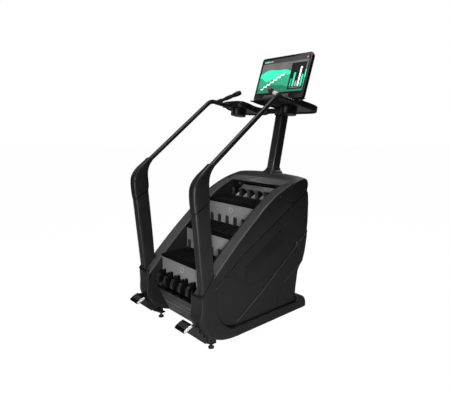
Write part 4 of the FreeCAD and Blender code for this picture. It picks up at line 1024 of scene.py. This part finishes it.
def make_picture(w, h):
    """Made-up screen: a header, hills with a flight of steps, and a card of bars."""
    x0, x1, z0, z1 = -w + 22.2, w - 22.2, 66.2, h - 20.2
    inks = [ink("ink_grey", (0.12, 0.115, 0.115)), ink("ink_green", (0.03, 0.30, 0.165)),
            ink("ink_mint", (0.04, 0.66, 0.36)), ink("ink_deep", (0.02, 0.16, 0.09)),
            ink("ink_dark", (0.012, 0.012, 0.013)), ink("ink_panel", (0.045, 0.045, 0.048)),
            ink("ink_white", (0.85, 0.86, 0.86)), ink("ink_coral", (0.62, 0.16, 0.14)),
            ink("ink_pale", (0.30, 0.30, 0.30))]
    GREEN, MINT, DEEP, DARK, PANEL, WHITE, CORAL, PALE = range(1, 9)    # 0 is the sky
    art = Shell()

    def flat(points, ink_no, d):
        pts = [(clamp(x, x0, x1), clamp(z, z0, z1)) for x, z in points]
        n = len(pts)
        art.add([S(x, z, d) for x, z in pts], [tuple(range(n))], ink_no)

    def bar(xa, xb, za, zb, ink_no, d):
        flat([(xa, za), (xb, za), (xb, zb), (xa, zb)], ink_no, d)

    def hills(base, waves, ink_no, d):
        top = []
        for k in range(73):
            x = x0 + (x1 - x0) * k / 72
            top.append((x, base + sum(a * math.sin(x / l + p) for a, l, p in waves)))
        for (xa, za), (xb, zb) in zip(top, top[1:]):
            flat([(xa, z0), (xb, z0), (xb, zb), (xa, za)], ink_no, d)
    art.loft([[S(x, z, d) for x, z in ((x0, z0), (x1, z0), (x1, z1), (x0, z1))]
              for d in (3.8, 1.3)])
    hills(262, ((22, 88, 2.6), (8, 37, 0.3)), MINT, 1.15)
    hills(206, ((26, 61, 0.9), (6, 19, 1.7)), GREEN, 1.10)
    hills(128, ((16, 74, 3.0), (7, 26, 0.5)), DEEP, 1.05)
    for k in range(7):
        bar(-228 + 36 * k, -192 + 36 * k, 100 + 20 * k, 112 + 20 * k, WHITE, 1.00)
        bar(-198 + 36 * k, -192 + 36 * k, 100 + 20 * k, 132 + 20 * k, WHITE, 0.98)
    bar(x0, x1, 346, z1, PANEL, 0.96)
    bar(x0 + 12, -150, 360, 372, PALE, 0.92)
    bar(x0 + 12, -206, 360, 372, MINT, 0.90)
    flat([(x1 - 22 + 8 * math.cos(t), 366 + 8 * math.sin(t))
          for t in turn(20)], CORAL, 0.92)
    bar(90, x1 - 14, 84, 326, DARK, 0.96)
    for k, (top, ink_no) in enumerate(((180, GREEN), (236, MINT), (158, PALE), (284, WHITE),
                                       (212, MINT))):
        bar(106 + 29 * k, 124 + 29 * k, 110, top, ink_no, 0.90)
    bar(104, x1 - 28, 98, 101, PALE, 0.90)
    piece("display_picture", art, "screen_glass", replaces=["display_glass"], sharp=30,
          mats=inks)


# --- floor, light, camera -----------------------------------------------------------
FLOOR_GLOW = 1.02        # strength of the floor's white
FLOOR_SEEN = 0.97        # share of that white in what the camera sees of the floor
FLOOR_MIRRORED = 0.1     # share of it in what glossy pieces mirror


def stage():
    bm = bmesh.new()
    bmesh.ops.create_grid(bm, x_segments=2, y_segments=2, size=30.0)
    mesh = bpy.data.meshes.new("floor")
    bm.to_mesh(mesh)
    floor = bpy.data.objects.new("floor", mesh)
    bpy.context.scene.collection.objects.link(floor)
    mat = bpy.data.materials.new("floor_white")
    mat.use_nodes = True
    nt = mat.node_tree
    bsdf = nt.nodes["Principled BSDF"]
    bsdf.inputs["Base Color"].default_value = (0.5, 0.5, 0.5, 1)
    bsdf.inputs["Roughness"].default_value = 0.9
    bsdf.inputs["Specular IOR Level"].default_value = 0.0
    glow = nt.nodes.new("ShaderNodeEmission")
    glow.inputs["Strength"].default_value = FLOOR_GLOW
    path = nt.nodes.new("ShaderNodeLightPath")
    mix = nt.nodes.new("ShaderNodeMixShader")
    seen = nt.nodes.new("ShaderNodeMath")
    seen.operation = "MULTIPLY"
    seen.inputs[1].default_value = FLOOR_SEEN
    mirror = nt.nodes.new("ShaderNodeMath")
    mirror.operation = "MULTIPLY_ADD"
    mirror.inputs[1].default_value = FLOOR_MIRRORED
    nt.links.new(path.outputs["Is Camera Ray"], seen.inputs[0])
    nt.links.new(path.outputs["Is Glossy Ray"], mirror.inputs[0])
    nt.links.new(seen.outputs[0], mirror.inputs[2])
    nt.links.new(mirror.outputs[0], mix.inputs[0])
    nt.links.new(bsdf.outputs[0], mix.inputs[1])
    nt.links.new(glow.outputs[0], mix.inputs[2])
    nt.links.new(mix.outputs[0], nt.nodes["Material Output"].inputs["Surface"])
    mesh.materials.append(mat)
    world = bpy.data.worlds.new("studio")
    bpy.context.scene.world = world
    world.use_nodes = True
    nt = world.node_tree
    bg = nt.nodes["Background"]
    bg.inputs["Color"].default_value = (1, 1, 1, 1)
    path = nt.nodes.new("ShaderNodeLightPath")
    level = nt.nodes.new("ShaderNodeMapRange")
    level.inputs["To Min"].default_value = 0.05
    level.inputs["To Max"].default_value = 1.0
    nt.links.new(path.outputs["Is Camera Ray"], level.inputs["Value"])
    nt.links.new(level.outputs["Result"], bg.inputs["Strength"])


def area(name, at, aim, size, power, spread=180.0):
    data = bpy.data.lights.new(name, "AREA")
    data.shape, data.size, data.energy = "DISK", size, power
    data.spread = math.radians(spread)
    lamp = bpy.data.objects.new(name, data)
    lamp.location = at
    lamp.rotation_euler = (Vector(aim) - Vector(at)).to_track_quat("-Z", "Y").to_euler()
    lamp.visible_camera = False
    bpy.context.scene.collection.objects.link(lamp)


def camera():
    data = bpy.data.cameras.new("camera")
    data.sensor_width, data.lens = 36.0, 33.12
    cam = bpy.data.objects.new("camera", data)
    cam.location = (2.525, -2.24357, 1.600)
    cam.rotation_euler = (math.radians(80.015), 0.0, math.radians(48.83))
    bpy.context.scene.collection.objects.link(cam)
    bpy.context.scene.camera = cam


make_uprights()
make_stringers()
make_boots()
make_side_panels()
make_panel_lines()
for step in (0, 1, 2, 3, 7):
    make_tread(step)
    make_riser(step)
make_kick_plate()
make_top_cover()
make_entry_pads()
make_foot_brackets()
make_trays()
make_grips()
make_mast()
make_console()
stage()
area("front", (0.6, -3.8, 2.6), (0, 0, 0.9), 1.6, 42.0)
area("near_right", (2.3, -2.0, 1.0), (0.42, -0.52, 0.6), 0.8, 10.0, 46.0)
area("opening", (0.15, -2.6, 2.0), (0, 0.3, 1.13), 0.3, 0.7, 12.0)
area("overhead", (0.5, -0.6, 4.2), (0, 0, 0.9), 1.8, 76.0)
area("left", (-3.2, -0.6, 2.4), (0, 0, 1.0), 1.8, 9.0)
area("rear", (-0.8, 3.4, 3.0), (0, 0, 1.2), 2.0, 60.0)
camera()
bpy.context.scene.view_settings.view_transform = "Standard"
